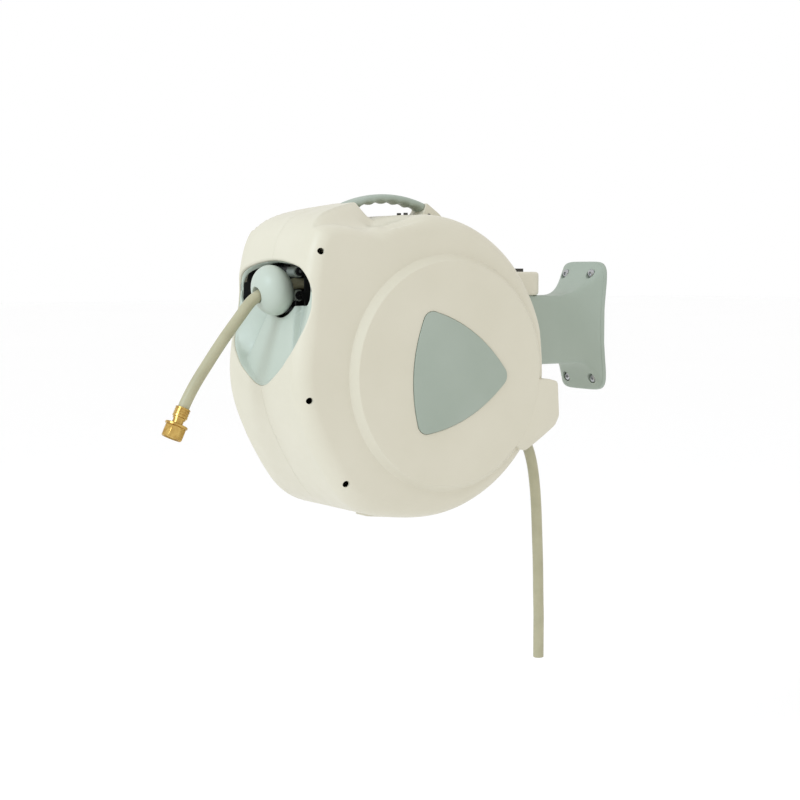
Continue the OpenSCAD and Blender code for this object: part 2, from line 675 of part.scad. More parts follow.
// One half of the casing with its bosses and openings, drawn for the right side
module half_shell() difference() {
    union() {
        shell_form();
        bosses();
        children();
    }
    translate([0, -axis_y, -axis_z]) {
        mouth_cut(0);
        ears(fit);
    }
    tenon_holes();
    handle_pegs();
    foot_stud(fit);
    across(plateau_x - badge_pocket, plateau_x + over) badge_outline(badge_groove);
}
module screw_recesses(angles) for (a = angles) {
    bar(screw_place(a), -over, head_seat(a) + over, casing_screw_r + fit);
    bar(screw_place(a), head_seat(a), plateau_x, casing_head_r + fit);
}
module screw_pilots(angles) for (a = angles) bar(screw_place(a), -over, pilot_l, casing_screw_r + fit / 2);
module left_shell() color(cream) at_axis() mirror([1, 0, 0]) difference() {
    half_shell();
    screw_pilots(right_screws);
    screw_recesses(left_screws);
}
module right_shell() color(cream) at_axis() difference() {
    half_shell() difference() {
        across(tail_x0, plateau_x - fit) polygon(tail_outline);
        bar([0, 0], 0, plateau_x, plateau_r - casing_wall);
    }
    across(tail_x0 + casing_wall, plateau_x - 2 * casing_wall) tail_hollow();
    screw_recesses(right_screws);
    screw_pilots(left_screws);
    lean(grommet_at, 0, leader_x) rotate([90 - grommet_turn, 0, 0]) translate([0, 0, -grommet_l])
        cylinder(h = 3 * grommet_l, r = grommet_r + fit);
}
tail_mid_share = 0.8;
tail_mid = [tail_mid_share * tail_back_f, tail_top_z + (tail_low_z - tail_top_z) / 2];
tail_hollow_share = 0.88;
module tail_hollow() polygon([for (p = tail_outline) tail_mid + tail_hollow_share * (p - tail_mid)]);
module screws_from_right(angles) for (a = angles) {
    bar(screw_place(a), -pilot_l + over, head_seat(a) + casing_head_h / 2, casing_screw_r);
    bar(screw_place(a), head_seat(a), head_seat(a) + casing_head_h, casing_head_r);
}
module casing_screws() color(dark_steel) at_axis() {
    screws_from_right(right_screws);
    mirror([1, 0, 0]) screws_from_right(left_screws);
}

// Mouth insert: a dished plug in the mouth, with a raised tongue and the hose slot
function insert_points() = let (rim = insert_ring(fit, 1), wall = insert_ring(fit + insert_wall, 1),
    bed = insert_ring(fit + 2 * insert_wall, 1), mid = insert_ring(fit + 2 * insert_wall, floor_mid_share)) concat(
    [for (p = rim) [p[0], -skin_f(p[0], p[1]) + lip_depth, p[1]]],
    [for (p = wall) [p[0], -skin_f(p[0], p[1]) + lip_depth, p[1]]],
    [for (p = bed) [p[0], -floor_f(p[0], p[1]), p[1]]],
    [for (p = mid) [p[0], -floor_f(p[0], p[1]), p[1]]],
    [[0, -floor_f(0, mouth_mid[1]), mouth_mid[1]]],
    [for (p = rim) [p[0], -floor_f(p[0], p[1]) + insert_wall, p[1]]],
    [for (p = mid) [p[0], -floor_f(p[0], p[1]) + insert_wall, p[1]]],
    [[0, -floor_f(0, mouth_mid[1]) + insert_wall, mouth_mid[1]]]);
function ring_faces(a, b) = [for (i = [0:mouth_count - 1]) let (k = (i + 1) % mouth_count)
    each [[a + i, b + i, b + k], [a + i, b + k, a + k]]];
function cap_faces(a, top, flip) = [for (i = [0:mouth_count - 1]) let (k = (i + 1) % mouth_count)
    flip ? [a + i, a + k, top] : [a + i, top, a + k]];
module insert_form() {
    m = mouth_count;
    back = 4 * m + 1;
    polyhedron(insert_points(), concat(ring_faces(0, m), ring_faces(m, 2 * m), ring_faces(2 * m, 3 * m),
        cap_faces(3 * m, 4 * m, false), ring_faces(back, 0), ring_faces(back + m, back),
        cap_faces(back + m, back + 2 * m, true)));
}
module tongue_form() across(-tongue_half_w, tongue_half_w) polygon([
    [tongue_f(slot_low) - tongue_rise - insert_wall / 2, slot_low], [tongue_f(slot_low), slot_low],
    [tongue_f(0), 0], [tongue_f(0) - tongue_rise - insert_wall / 2, 0]]);
module slot_cut() translate([0, -slot_floor_f + mouth_reach, 0]) rotate([90, 0, 0]) {
    linear_extrude(casing_r) intersection() {
        polygon([for (p = mouth_outline) inset_point(p, slot_rim)]);
        translate([-slot_half_w, slot_low]) square([2 * slot_half_w, mouth_h]);
    }
    translate([0, ball_z]) cylinder(h = casing_r, r = ball_r + insert_wall);
}
module mouth_insert() color(pale_sage) at_axis() difference() {
    union() {
        insert_form();
        tongue_form();
    }
    slot_cut();
}

// Handle: grip with finger scallops, and the post behind it
function grip_point(r, a) = [grip_f, grip_arc_z] + polar(r, a);
function scallop(a) = scallop_d * abs(sin(180 * scallop_count * (a - grip_front_a) / (grip_rear_a - grip_front_a)));
function grip_a(i) = grip_front_a + (grip_rear_a - grip_front_a) * i / grip_steps;
module grip_tenon(gap) {
    z = grip_point(grip_arc_r - grip_t, grip_front_a)[1];
    f = grip_point(grip_arc_r - grip_t, grip_front_a + grip_tenon_turn)[0];
    translate([f - gap, z + over - gap]) square([grip_tenon_f - f + 2 * gap, grip_tenon_h + 2 * gap]);
}
// Height of the band's top at a forward distance
function band_top(f) = casing_z + sqrt(pow(casing_r, 2) - pow(f - casing_f, 2));
module post_tenon(gap) {
    w = (post_front_f - post_back_f) / 2;
    top = band_top(post_front_f) + 2 * gap;
    low = band_top(post_back_f) - tenon_depth;
    translate([post_back_f + w / 2 - gap, low]) square([w + 2 * gap, top - low]);
}
// Everything in front of the hood's rear face, with a gap behind it
module hood_back() {
    low = polar(plain_r(hood_end + hood_fall), hood_end + hood_fall);
    high = polar(band_r(hood_end), hood_end);
    top = low + 2 * (high - low);
    gap = [2 * fit, 0];
    polygon([low - gap, top - gap, top + [casing_r, 0], low + [casing_r, 0]]);
}
module handle_grip() color(sage) at_axis() {
    across(-grip_w / 2, grip_w / 2) difference() {
        polygon(concat([for (i = [0:grip_steps]) grip_point(grip_arc_r, grip_a(i))],
            [for (i = [grip_steps:-1:0]) grip_point(grip_arc_r - grip_t + scallop(grip_a(i)), grip_a(i))]));
        hood_back();
    }
    across(-grip_tenon_w / 2, grip_tenon_w / 2) grip_tenon(0);
}
module handle_post() color(cream) at_axis() difference() {
    post_form();
    bar(post_screw, -post_w, post_w, handle_screw_r + press_gap);
}
module post_form() {
    top = grip_point(grip_arc_r, grip_rear_a) - [fit, 0];
    heel = grip_point(grip_arc_r - grip_t, grip_rear_a) - [fit, 0];
    across(-post_w / 2, post_w / 2) difference() {
        polygon([top, heel, [post_front_f, casing_z], [post_back_f, casing_z], [post_back_f, band_top(post_back_f)]]);
        translate([casing_f, casing_z]) circle(r = casing_r + fit, $fn = 360);
    }
    across(-post_tenon_w / 2, post_tenon_w / 2) post_tenon(0);
}
// Screws of the handle: one through the post's side, two in front of its foot
module handle_screws() color(dark_steel) at_axis() {
    for (x = [-1, 1]) translate([x * post_w / 4, -peg_f, band_top(peg_f) - casing_wall + press_gap])
        cylinder(h = casing_wall + peg_h, r = handle_screw_r);
    bar(post_screw, -post_w / 2, post_w / 2, handle_screw_r);
}

// Badges: a rounded triangle with bowed sides, its point to the rear
function badge_corner(i) = polar(badge_reach - badge_corner_r, badge_turn + 120 * i);
function badge_arc(i, grow) = [for (s = [0:badge_steps]) badge_corner(i)
    + polar(badge_corner_r + grow, badge_turn + 120 * i - badge_arc_half + 2 * badge_arc_half * s / badge_steps)];
function badge_side(i, grow) = let (a = badge_arc(i, grow)[badge_steps], b = badge_arc(i + 1, grow)[0],
    mid = (a + b) / 2, half = norm(b - a) / 2, sag = badge_side_r - sqrt(pow(badge_side_r, 2) - pow(half, 2)))
    [for (s = [1:badge_steps - 1]) let (t = s / badge_steps) a + t * (b - a) + 4 * t * (1 - t) * sag * unit(mid)];
module badge_outline(grow) polygon([for (i = [0:2]) each concat(badge_arc(i, grow), badge_side(i, grow))]);
module right_badge() color(sage) at_axis()
    across(plateau_x - badge_pocket, plateau_x - badge_pocket + badge_t) badge_outline(0);
module left_badge() color(sage) mirror([1, 0, 0]) at_axis()
    across(plateau_x - badge_pocket, plateau_x - badge_pocket + badge_t) badge_outline(0);

// Foot under the band, with a stud through the casing's seam
foot_turn = asin((foot_f - casing_f) / casing_r);
module at_foot() translate([0, -casing_f, casing_z]) rotate([-foot_turn, 0, 0]) translate([0, 0, -casing_r]) children();
module foot_stud(gap) at_foot() translate([0, 0, -foot_h / 2]) cylinder(h = foot_stud_l + foot_h / 2, r = foot_stud_r + gap);
module foot() color(cream) at_axis() {
    difference() {
        at_foot() translate([-foot_w / 2, -foot_l / 2, -foot_h]) cube([foot_w, foot_l, 2 * foot_h]);
        across(-foot_w, foot_w) polygon([for (i = [0:casing_steps - 1]) polar(band_r(casing_a(i)) + fit, casing_a(i))]);
    }
    foot_stud(0);
}

// Side frames that carry the drum, the guide and the pawl
module frame_plan(arms) {
    circle(r = frame_disc_r);
    rotate(train_angle) translate([0, -frame_arm_w / 2]) square([norm(screw_at), frame_arm_w]);
    translate(screw_at) circle(r = frame_arm_w / 2);
    translate([rod_at[0] - frame_arm_w / 2, rod_at[1]]) square([frame_arm_w, screw_at[1] - rod_at[1]]);
    translate(rod_at) circle(r = frame_arm_w / 2);
    for (a = arms) rotate(a) {
        translate([0, -frame_arm_w / 4]) square([pawl_ring_r, frame_arm_w / 2]);
        translate([pawl_ring_r, 0]) circle(r = frame_arm_w / 4);
    }
}
bush_r = screw_r + bush_t;
module left_frame() color(grey_plastic) at_axis() difference() {
    union() {
        across(-left_frame_x - frame_t, -left_frame_x) frame_plan([]);
        for (a = left_standoffs)
            bar(polar(standoff_ring_r, a), -plateau_x + casing_wall + fit, -left_frame_x, standoff_r);
    }
    bar([0, 0], -plateau_x, 0, arbor_r + press_gap);
    bar(idler_at, -plateau_x, 0, idler_pin_r + press_gap);
    bar(screw_at, -plateau_x, 0, bush_r + press_gap);
    bar(rod_at, -plateau_x, 0, rod_r + press_gap);
}
module right_frame() color(grey_plastic) at_axis() difference() {
    union() {
        across(right_frame_x, right_frame_x + right_frame_t) frame_plan([-pawl_angle]);
        for (a = right_standoffs)
            bar(polar(standoff_ring_r, a), right_frame_x, plateau_x - casing_wall - fit, standoff_r);
    }
    bar([0, 0], 0, plateau_x, stem_r + press_gap);
    bar(screw_at, 0, plateau_x, bush_r + press_gap);
    bar(rod_at, 0, plateau_x, rod_r + press_gap);
    bar(polar(pawl_ring_r, -pawl_angle), 0, plateau_x, pawl_pin_r + press_gap);
}

// Power spring on its arbor
module spring_arbor() color(steel) at_axis() bar([0, 0], -left_frame_x - frame_t, -over, arbor_r);
spring_t = 1.2;
spring_out_r = hub_r - hub_wall - fit;
spring_in_r = arbor_r + fit;
spring_steps = 30;
spring_w = 40;
spring_x = -drum_x + flange_t;
function spring_r(i) = spring_in_r + (spring_out_r - spring_t - spring_in_r) * i / (spring_turns * spring_steps);
module power_spring() color(steel) at_axis() across(spring_x, spring_x + spring_w) polygon(concat(
    [for (i = [0:spring_turns * spring_steps]) polar(spring_r(i), 360 * i / spring_steps)],
    [for (i = [spring_turns * spring_steps:-1:0]) polar(spring_r(i) + spring_t, 360 * i / spring_steps)]));

// Water inlet: fixed stem with seals, elbow, hose and grommet
seal_in = 8;
seal_gap = 18;
seal_x = [manifold_x + seal_in, manifold_x + seal_in + seal_gap];
seal_w = 3;
seal_depth = 1.6;
elbow_r = 12;
elbow_neck_r = 7.5;
elbow_bore_r = 4.5;
inlet_turn = atan2(inlet_route[0][1], inlet_route[0][0]);
module inlet_stem() color(brass) at_axis() difference() {
    bar([0, 0], stem_x, leader_x - elbow_r / 2, stem_r);
    bar([0, 0], stem_x - over, leader_x, stem_bore_r);
    for (x = seal_x) tube([0, 0], x - seal_w / 2, x + seal_w / 2, stem_r + over, stem_r - seal_depth);
}
module stem_seals() color(black_rubber) at_axis() for (x = seal_x)
    translate([x, 0, 0]) rotate([0, 90, 0]) rotate_extrude()
        translate([stem_r - seal_depth / 2, 0]) circle(r = seal_depth / 2 - press_gap);
module inlet_elbow() color(brass) at_axis() difference() {
    union() {
        bar([0, 0], right_frame_x + right_frame_t + fit, leader_x + elbow_r, elbow_r);
        translate([leader_x, 0, 0]) rotate([90 - inlet_turn, 0, 0]) cylinder(h = norm(inlet_route[0]) - fit, r = elbow_neck_r);
    }
    bar([0, 0], 0, leader_x - elbow_r / 2 + press_gap, stem_r + press_gap);
    bar([0, 0], 0, leader_x + elbow_r / 2, stem_bore_r);
    translate([leader_x, 0, 0]) rotate([90 - inlet_turn, 0, 0]) cylinder(h = 2 * norm(inlet_route[0]), r = elbow_bore_r);
}
clip_w = 9;
clip_t = 1.2;
module inlet_clip() color(steel) at_axis() translate([leader_x, 0, 0]) rotate([90 - inlet_turn, 0, 0])
    translate([0, 0, norm(inlet_route[0]) + over]) difference() {
        cylinder(h = clip_w, r = hose_d / 2 + fit + clip_t);
        translate([0, 0, -over]) cylinder(h = clip_w + 2 * over, r = hose_d / 2 + fit);
    }
module inlet_run() color(hose_colour) at_axis() sweep(in_plane(inlet_route, leader_x), hose_d / 2, hose_sides);
module inlet_grommet() color(black_rubber) at_axis() lean(grommet_at, 0, leader_x) rotate([90 - grommet_turn, 0, 0])
    difference() {
        union() {
            translate([0, 0, -grommet_back]) cylinder(h = grommet_l, r = grommet_r);
            translate([0, 0, grommet_l - grommet_back]) cylinder(h = grommet_flange_t, r = grommet_flange_r);
        }
        translate([0, 0, -grommet_l]) cylinder(h = 3 * grommet_l, r = hose_d / 2 + fit);
    }
module leader_hose() color(hose_colour) at_axis() {
    low = leader_route[len(leader_route) - 1];
    sweep(in_plane(leader_route, leader_x), hose_d / 2, hose_sides);
    translate([leader_x, -low[0], low[1] - leader_tail_l]) difference() {
        cylinder(h = leader_tail_l + over, r = hose_d / 2 + press_gap);
        translate([0, 0, -over]) cylinder(h = leader_tail_l, r = hose_bore_r);
    }
}

// Drum
module drum_hub() color(grey_plastic) at_axis() difference() {
    tube([0, 0], -drum_x, drum_x, hub_r, hub_r - hub_wall);
    translate([barb_x, 0, 0]) cylinder(h = 2 * hub_r, r = barb_r + fit);
}
module left_flange() color(grey_plastic) at_axis() tube([0, 0], -flange_x, -drum_x, flange_r, left_bush_r + press_gap);
module right_flange() color(grey_plastic) at_axis() tube([0, 0], drum_x, flange_x, flange_r, manifold_r + press_gap);
drum_gear_bore_share = 0.6;
module drum_gear() color(grey_plastic) at_axis() difference() {
    across(-gear_x - gear_w, -flange_x) gear_outline(drum_teeth, train_angle);
    bar([0, 0], -plateau_x, 0, drum_pitch_r * drum_gear_bore_share);
}
ratchet_band = 12;
module ratchet_ring() color(steel) at_axis() difference() {
    across(flange_x, flange_x + ratchet_w) polygon([for (t = [0:ratchet_teeth - 1])
        let (step = 360 / ratchet_teeth, a = -pawl_angle + pawl_tip_angle + step * (t + 0.5))
        each [polar(ratchet_r - ratchet_depth, a - step / 2), polar(ratchet_r - ratchet_depth, a - step * tooth_share / 2),
            polar(ratchet_r, a - step * tooth_share / 2), polar(ratchet_r, a + step * tooth_share / 4),
            polar(ratchet_r - ratchet_depth, a + step * tooth_share / 2)]]);
    bar([0, 0], 0, plateau_x, ratchet_r - ratchet_depth - ratchet_band);
}
module drum_bush() color(brass) at_axis() tube([0, 0], -flange_x, -drum_x + flange_t, left_bush_r, arbor_r + run_fit);
module manifold() color(brass) at_axis() difference() {
    bar([0, 0], manifold_x, flange_x, manifold_r);
    bar([0, 0], manifold_x - over, plateau_x, stem_r + run_fit);
    translate([barb_x, 0, barb_seat]) cylinder(h = 2 * manifold_r, r = barb_r + press_gap);
}
module feed_barb() color(brass) at_axis() translate([barb_x, 0, barb_seat]) difference() {
    cylinder(h = hub_r - fit - barb_seat, r = barb_r);
    translate([0, 0, -over]) cylinder(h = hub_r, r = barb_bore_r);
}
core_r = winding_r - hose_d / 2 - core_gap;
module wound_core() color(hose_colour) at_axis() tube([0, 0], -drum_x + fit, drum_x - fit, core_r, hub_r + fit);
module hose_winding() color(hose_colour) at_axis() sweep(winding_path, hose_d / 2, winding_sides);
module hose_lead() color(hose_colour) at_axis() sweep([lead_start + lead_dir * (hose_d + fit),
    lead_start + lead_dir * 2 * hose_d, [0, -roller_f, lead_z], in_plane(outlet_route, 0)[0] + [0, fit, 0]],
    hose_d / 2, hose_sides);

// Guide: idler, traverse screw, carriage and rollers
module idler_gear() color(grey_plastic) at_axis() difference() {
    union() {
        across(-gear_x - gear_w, -gear_x) translate(idler_at)
            gear_outline(idler_teeth, train_angle + 180 - 180 / idler_teeth);
        bar(idler_at, -left_frame_x + fit, -gear_x - gear_w / 2, idler_boss_r);
    }
    bar(idler_at, -plateau_x, 0, idler_pin_r + run_fit);
}
module idler_pin() color(steel) at_axis() bar(idler_at, -left_frame_x - frame_t, -gear_x, idler_pin_r);
module screw_gear() color(grey_plastic) at_axis() difference() {
    across(-gear_x - gear_w, -gear_x) translate(screw_at) gear_outline(screw_teeth, train_angle + 180);
    bar(screw_at, -plateau_x, 0, screw_r + press_gap);
}
module traverse_screw() color(steel) at_axis()
    bar(screw_at, -left_frame_x - frame_t, right_frame_x + right_frame_t, screw_r);
module screw_bushes() color(brass) at_axis() {
    tube(screw_at, -left_frame_x - frame_t, -left_frame_x, bush_r, screw_r + run_fit);
    tube(screw_at, right_frame_x, right_frame_x + right_frame_t, bush_r, screw_r + run_fit);
}
module guide_rod() color(steel) at_axis()
    bar(rod_at, -left_frame_x - frame_t, right_frame_x + right_frame_t, rod_r);
upper_pin = [roller_f, lead_z + roller_off];
lower_pin = [roller_f, lead_z - roller_off];
module cheek_plan() {
    translate([screw_at[0] - rod_sleeve_r, rod_z]) square([2 * rod_sleeve_r, screw_at[1] - rod_z]);
    for (p = [upper_pin, lower_pin]) {
        translate(p) circle(r = pin_boss_r);
        translate([screw_at[0], p[1] - pin_boss_r]) square([p[0] - screw_at[0], 2 * pin_boss_r]);
    }
    translate(screw_at) circle(r = screw_sleeve_r);
    translate(rod_at) circle(r = rod_sleeve_r);
}
module guide_carriage() color(grey_plastic) at_axis() difference() {
    union() {
        for (x = [-cheek_x - cheek_t, cheek_x]) across(x, x + cheek_t) cheek_plan();
        bar(screw_at, -cheek_x, cheek_x, screw_sleeve_r);
        bar(rod_at, -cheek_x, cheek_x, rod_sleeve_r);
    }
    bar(screw_at, -plateau_x, plateau_x, screw_r + run_fit);
    bar(rod_at, -plateau_x, plateau_x, rod_r + run_fit);
    for (p = [upper_pin, lower_pin]) bar(p, -plateau_x, plateau_x, roller_pin_r + press_gap);
    translate([0, -screw_at[0], screw_at[1]]) cylinder(h = 2 * screw_sleeve_r, r = follower_r + press_gap);
}
follower_r = 3.5;
module screw_follower() color(brass) at_axis() translate([0, -screw_at[0], screw_at[1] + screw_r + fit])
    cylinder(h = screw_sleeve_r - screw_r, r = follower_r);
module roller_pins() color(steel) at_axis() for (p = [upper_pin, lower_pin])
    bar(p, -cheek_x - cheek_t, cheek_x + cheek_t, roller_pin_r);
module roller(p) tube(p, -roller_l / 2, roller_l / 2, roller_r, roller_pin_r + run_fit);
module upper_roller() color(pale_sage) at_axis() roller(upper_pin);
module lower_roller() color(pale_sage) at_axis() roller(lower_pin);

// Ratchet pawl, held clear of the ring at rest
pawl_at = polar(pawl_ring_r, -pawl_angle);
pawl_x0 = flange_x + ratchet_gap;
pawl_x1 = flange_x + ratchet_w - fit;
pawl_hook = pawl_ring_r - ratchet_r - pawl_clear;
module ratchet_pawl() color(steel) at_axis() difference() {
    union() {
        bar(pawl_at, pawl_x0, pawl_x1, pawl_eye_r);
        across(pawl_x0, pawl_x1) translate(pawl_at) rotate(-pawl_angle)
            polygon([[-pawl_eye_r / 2, 0], [-pawl_hook, pawl_l - pawl_nose_w], [-pawl_hook, pawl_l],
                [pawl_eye_r - pawl_hook, pawl_l], [pawl_eye_r / 2, 0]]);
    }
    bar(pawl_at, 0, plateau_x, pawl_pin_r + run_fit);
}
module pawl_pin() color(steel) at_axis() bar(pawl_at, pawl_x0, right_frame_x + right_frame_t, pawl_pin_r);
pawl_spring_t = 1;
module pawl_spring() color(steel) at_axis() across(pawl_x0, right_frame_x) translate(pawl_at) rotate(-pawl_angle)
    translate([pawl_eye_r + fit, -pawl_eye_r]) square([pawl_spring_t, 2 * pawl_eye_r]);

// Stopper ball in two halves, clamped on the hose
ball_steps = 20;
ball_hole_r = 12;
ball_hole_d = 19;
ball_bore_r = hose_d / 2 + fit;
// Angles on the ball's outline where its bore and its front hole begin
ball_back_t = -acos(ball_bore_r / ball_r);
ball_front_t = acos(ball_hole_r / ball_r);
module ball_section() polygon(concat(
    [for (i = [0:ball_steps]) let (t = ball_back_t + (ball_front_t - ball_back_t) * i / ball_steps)
        [ball_r * cos(t), ball_half_l * sin(t)]],
    [[ball_bore_r, ball_half_l * sin(ball_front_t) - ball_hole_d]]));
module ball_half() translate([press_gap, -ball_f, ball_z]) rotate([90 + ball_tilt, 0, 0]) rotate([0, 0, -90])
    rotate_extrude(angle = 180) ball_section();
stopper_screw_r = 2;
stopper_screw_off = 24;
stopper_seat = 14;
module stopper_half() difference() {
    ball_half();
    for (z = [-1, 1]) {
        bar([ball_f, ball_z + z * stopper_screw_off], -over, stopper_seat + over, stopper_screw_r + fit / 2);
        bar([ball_f, ball_z + z * stopper_screw_off], stopper_seat, 2 * ball_r, 2 * stopper_screw_r + fit);
    }
}
module right_stopper() color(pale_sage) at_axis() stopper_half();
module left_stopper() color(pale_sage) at_axis() mirror([1, 0, 0]) stopper_half();
module stopper_screws() color(dark_steel) at_axis() for (z = [-1, 1]) {
    bar([ball_f, ball_z + z * stopper_screw_off], -stopper_seat, stopper_seat, stopper_screw_r);
    for (x = [-stopper_seat - stopper_screw_r, stopper_seat])
        bar([ball_f, ball_z + z * stopper_screw_off], x, x + stopper_screw_r, 2 * stopper_screw_r);
}

// Outlet hose with its brass end
module outlet_hose() color(hose_colour) at_axis() sweep(in_plane(outlet_route, 0), hose_d / 2, hose_sides);
// Stands a piece along the hose's last stretch, at a distance past its end
module at_outlet(d) at_axis() translate([0, -outlet_end[0], outlet_end[1]]) rotate([180 - outlet_lean, 0, 0])
    translate([0, 0, d]) children();
module outlet_ferrule() color(brass) at_outlet(-ferrule_l) difference() {
    cylinder(h = ferrule_l, r = ferrule_r);
    translate([0, 0, -over]) cylinder(h = ferrule_l + 2 * over, r = hose_d / 2 + fit);
}
module outlet_tail() color(brass) at_outlet(press_gap) difference() {
    union() {
        cylinder(h = tail_shoulder_t, r = tail_collar_r);
        cylinder(h = tail_l - nut_l, r = tail_neck_r);
        translate([0, 0, tail_l - nut_l]) cylinder(h = tail_shoulder_t, r = tail_shoulder_r);
    }
    translate([0, 0, -over]) cylinder(h = 2 * tail_l, r = tail_bore_r);
}
nut_back = tail_l - nut_l - nut_rim_l;
module outlet_nut() color(brass) at_outlet(nut_back) difference() {
    union() {
        cylinder(h = nut_l + nut_rim_l, r = nut_r, $fn = nut_sides);
        cylinder(h = nut_rim_l, r = nut_rim_r);
    }
    translate([0, 0, -over]) cylinder(h = 2 * nut_l, r = tail_neck_r + run_fit);
    translate([0, 0, nut_rim_l - fit]) cylinder(h = nut_l, r = tail_shoulder_r + fit);
    translate([0, 0, nut_l + nut_rim_l - nut_thread_l]) cylinder(h = nut_l, r = nut_thread_r);
}
module outlet_washer() color(black_rubber) at_outlet(tail_l - nut_l + tail_shoulder_t + 2 * press_gap) difference() {
    cylinder(h = washer_t, r = tail_shoulder_r);
    translate([0, 0, -over]) cylinder(h = washer_t + 2 * over, r = tail_bore_r);
}

wall_bracket();
hinge_pin();
hinge_yoke();
left_shell();
right_shell();
casing_screws();
mouth_insert();
handle_grip();
handle_post();
handle_screws();
left_badge();
right_badge();
foot();
left_frame();
right_frame();
spring_arbor();
power_spring();
inlet_stem();
stem_seals();
inlet_elbow();
inlet_clip();
inlet_run();
inlet_grommet();
leader_hose();
idler_pin();
guide_rod();
screw_bushes();
pawl_pin();
pawl_spring();
drum_hub();
left_flange();
right_flange();
drum_gear();
ratchet_ring();
drum_bush();
manifold();
feed_barb();
wound_core();
hose_winding();
hose_lead();
idler_gear();
traverse_screw();
screw_gear();
guide_carriage();
screw_follower();
roller_pins();
upper_roller();
lower_roller();
ratchet_pawl();
right_stopper();
left_stopper();
stopper_screws();
outlet_hose();
outlet_ferrule();
outlet_tail();
outlet_nut();
outlet_washer();
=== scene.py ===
"""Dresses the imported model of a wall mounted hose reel."""
import json
import math

import bmesh
import bpy
import numpy as np
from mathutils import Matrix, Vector
from mathutils.bvhtree import BVHTree
from mathutils.geometry import barycentric_transform

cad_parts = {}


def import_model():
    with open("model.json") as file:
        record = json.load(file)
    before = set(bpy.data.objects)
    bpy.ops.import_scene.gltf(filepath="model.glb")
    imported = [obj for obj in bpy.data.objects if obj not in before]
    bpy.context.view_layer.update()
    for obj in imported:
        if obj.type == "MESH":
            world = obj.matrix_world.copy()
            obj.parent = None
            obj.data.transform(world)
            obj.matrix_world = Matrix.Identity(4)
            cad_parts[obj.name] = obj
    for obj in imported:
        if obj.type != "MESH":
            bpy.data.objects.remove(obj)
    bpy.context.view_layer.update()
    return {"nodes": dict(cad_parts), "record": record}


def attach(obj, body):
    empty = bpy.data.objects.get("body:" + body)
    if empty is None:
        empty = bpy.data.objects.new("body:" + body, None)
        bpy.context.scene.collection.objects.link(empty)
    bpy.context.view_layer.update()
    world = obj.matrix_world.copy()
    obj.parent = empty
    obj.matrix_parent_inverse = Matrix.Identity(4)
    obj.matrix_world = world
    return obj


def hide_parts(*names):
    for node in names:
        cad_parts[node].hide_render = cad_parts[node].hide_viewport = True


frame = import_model()
NODES = frame["nodes"]
SLOT_OF = {p["node"]: p["material_slot"] for p in frame["record"]["subparts"]}

MM = 0.001
AXIS_Y, AXIS_Z = -349.0, -59.0
HANDS = ((1.0, "right"), (-1.0, "left"))


def world(points):
    """Places [across, forward, up] about the drum axis, in mm, as scene metres."""
    p = np.asarray(points, float)
    return np.stack([p[..., 0], AXIS_Y - p[..., 1], AXIS_Z + p[..., 2]], axis=-1) * MM


def smooth(t):
    """A soft step from 0 to 1."""
    t = np.clip(t, 0.0, 1.0)
    return t * t * (3.0 - 2.0 * t)


def srgb(*channels):
    """An 8-bit colour as linear RGBA."""
    line = [c / 255.0 for c in channels]
    line = [c / 12.92 if c <= 0.04045 else ((c + 0.055) / 1.055) ** 2.4 for c in line]
    return (*line, 1.0)


# Camera at the photograph's viewing angle

camera_data = bpy.data.cameras.new("camera")
camera_data.lens = 70.28
camera_data.sensor_width = 36.0
camera_data.clip_end = 200.0
camera = bpy.data.objects.new("camera", camera_data)
bpy.context.scene.collection.objects.link(camera)
camera.location = (1.8779, -1.6759, 0.0835)
aim = Vector((0.0, -0.361, -0.103)) - camera.location
camera.rotation_euler = aim.to_track_quat("-Z", "Y").to_euler()
bpy.context.scene.camera = camera


# Materials

NOISE_LOW, NOISE_HIGH = 0.3, 0.7


def shader(name):
    """A new material with its node tree and its shader."""
    mat = bpy.data.materials.new(name)
    mat.use_nodes = True
    tree = mat.node_tree
    tree.nodes.clear()
    out = tree.nodes.new("ShaderNodeOutputMaterial")
    bsdf = tree.nodes.new("ShaderNodeBsdfPrincipled")
    tree.links.new(bsdf.outputs[0], out.inputs[0])
    return mat, tree, bsdf


def noise(tree, scale, detail=2.0, stretch=(1.0, 1.0, 1.0)):
    """A noise on the object's own coordinates."""
    place = tree.nodes.new("ShaderNodeTexCoord")
    mapping = tree.nodes.new("ShaderNodeMapping")
    mapping.inputs["Scale"].default_value = stretch
    tex = tree.nodes.new("ShaderNodeTexNoise")
    tex.inputs["Scale"].default_value = scale
    tex.inputs["Detail"].default_value = detail
    tree.links.new(place.outputs["Object"], mapping.inputs["Vector"])
    tree.links.new(mapping.outputs["Vector"], tex.inputs["Vector"])
    return tex.outputs["Fac"]


def spread(tree, fac, low, high):
    """Maps the middle of a noise to a range."""
    node = tree.nodes.new("ShaderNodeMapRange")
    node.inputs["From Min"].default_value = NOISE_LOW
    node.inputs["From Max"].default_value = NOISE_HIGH
    node.inputs["To Min"].default_value = low
    node.inputs["To Max"].default_value = high
    tree.links.new(fac, node.inputs["Value"])
    return node.outputs["Result"]


def two_colours(tree, fac, first, second):
    """A mix of two colours."""
    node = tree.nodes.new("ShaderNodeMix")
    node.data_type = "RGBA"
    sockets = [s for s in node.inputs if s.type == "RGBA"]
    sockets[0].default_value = first
    sockets[1].default_value = second
    tree.links.new(fac, node.inputs["Factor"])
    return [s for s in node.outputs if s.type == "RGBA"][0]


def bump(tree, bsdf, height, strength, distance):
    """Gives a shader a small relief."""
    node = tree.nodes.new("ShaderNodeBump")
    node.inputs["Strength"].default_value = strength
    node.inputs["Distance"].default_value = distance
    tree.links.new(height, node.inputs["Height"])
    tree.links.new(node.outputs["Normal"], bsdf.inputs["Normal"])


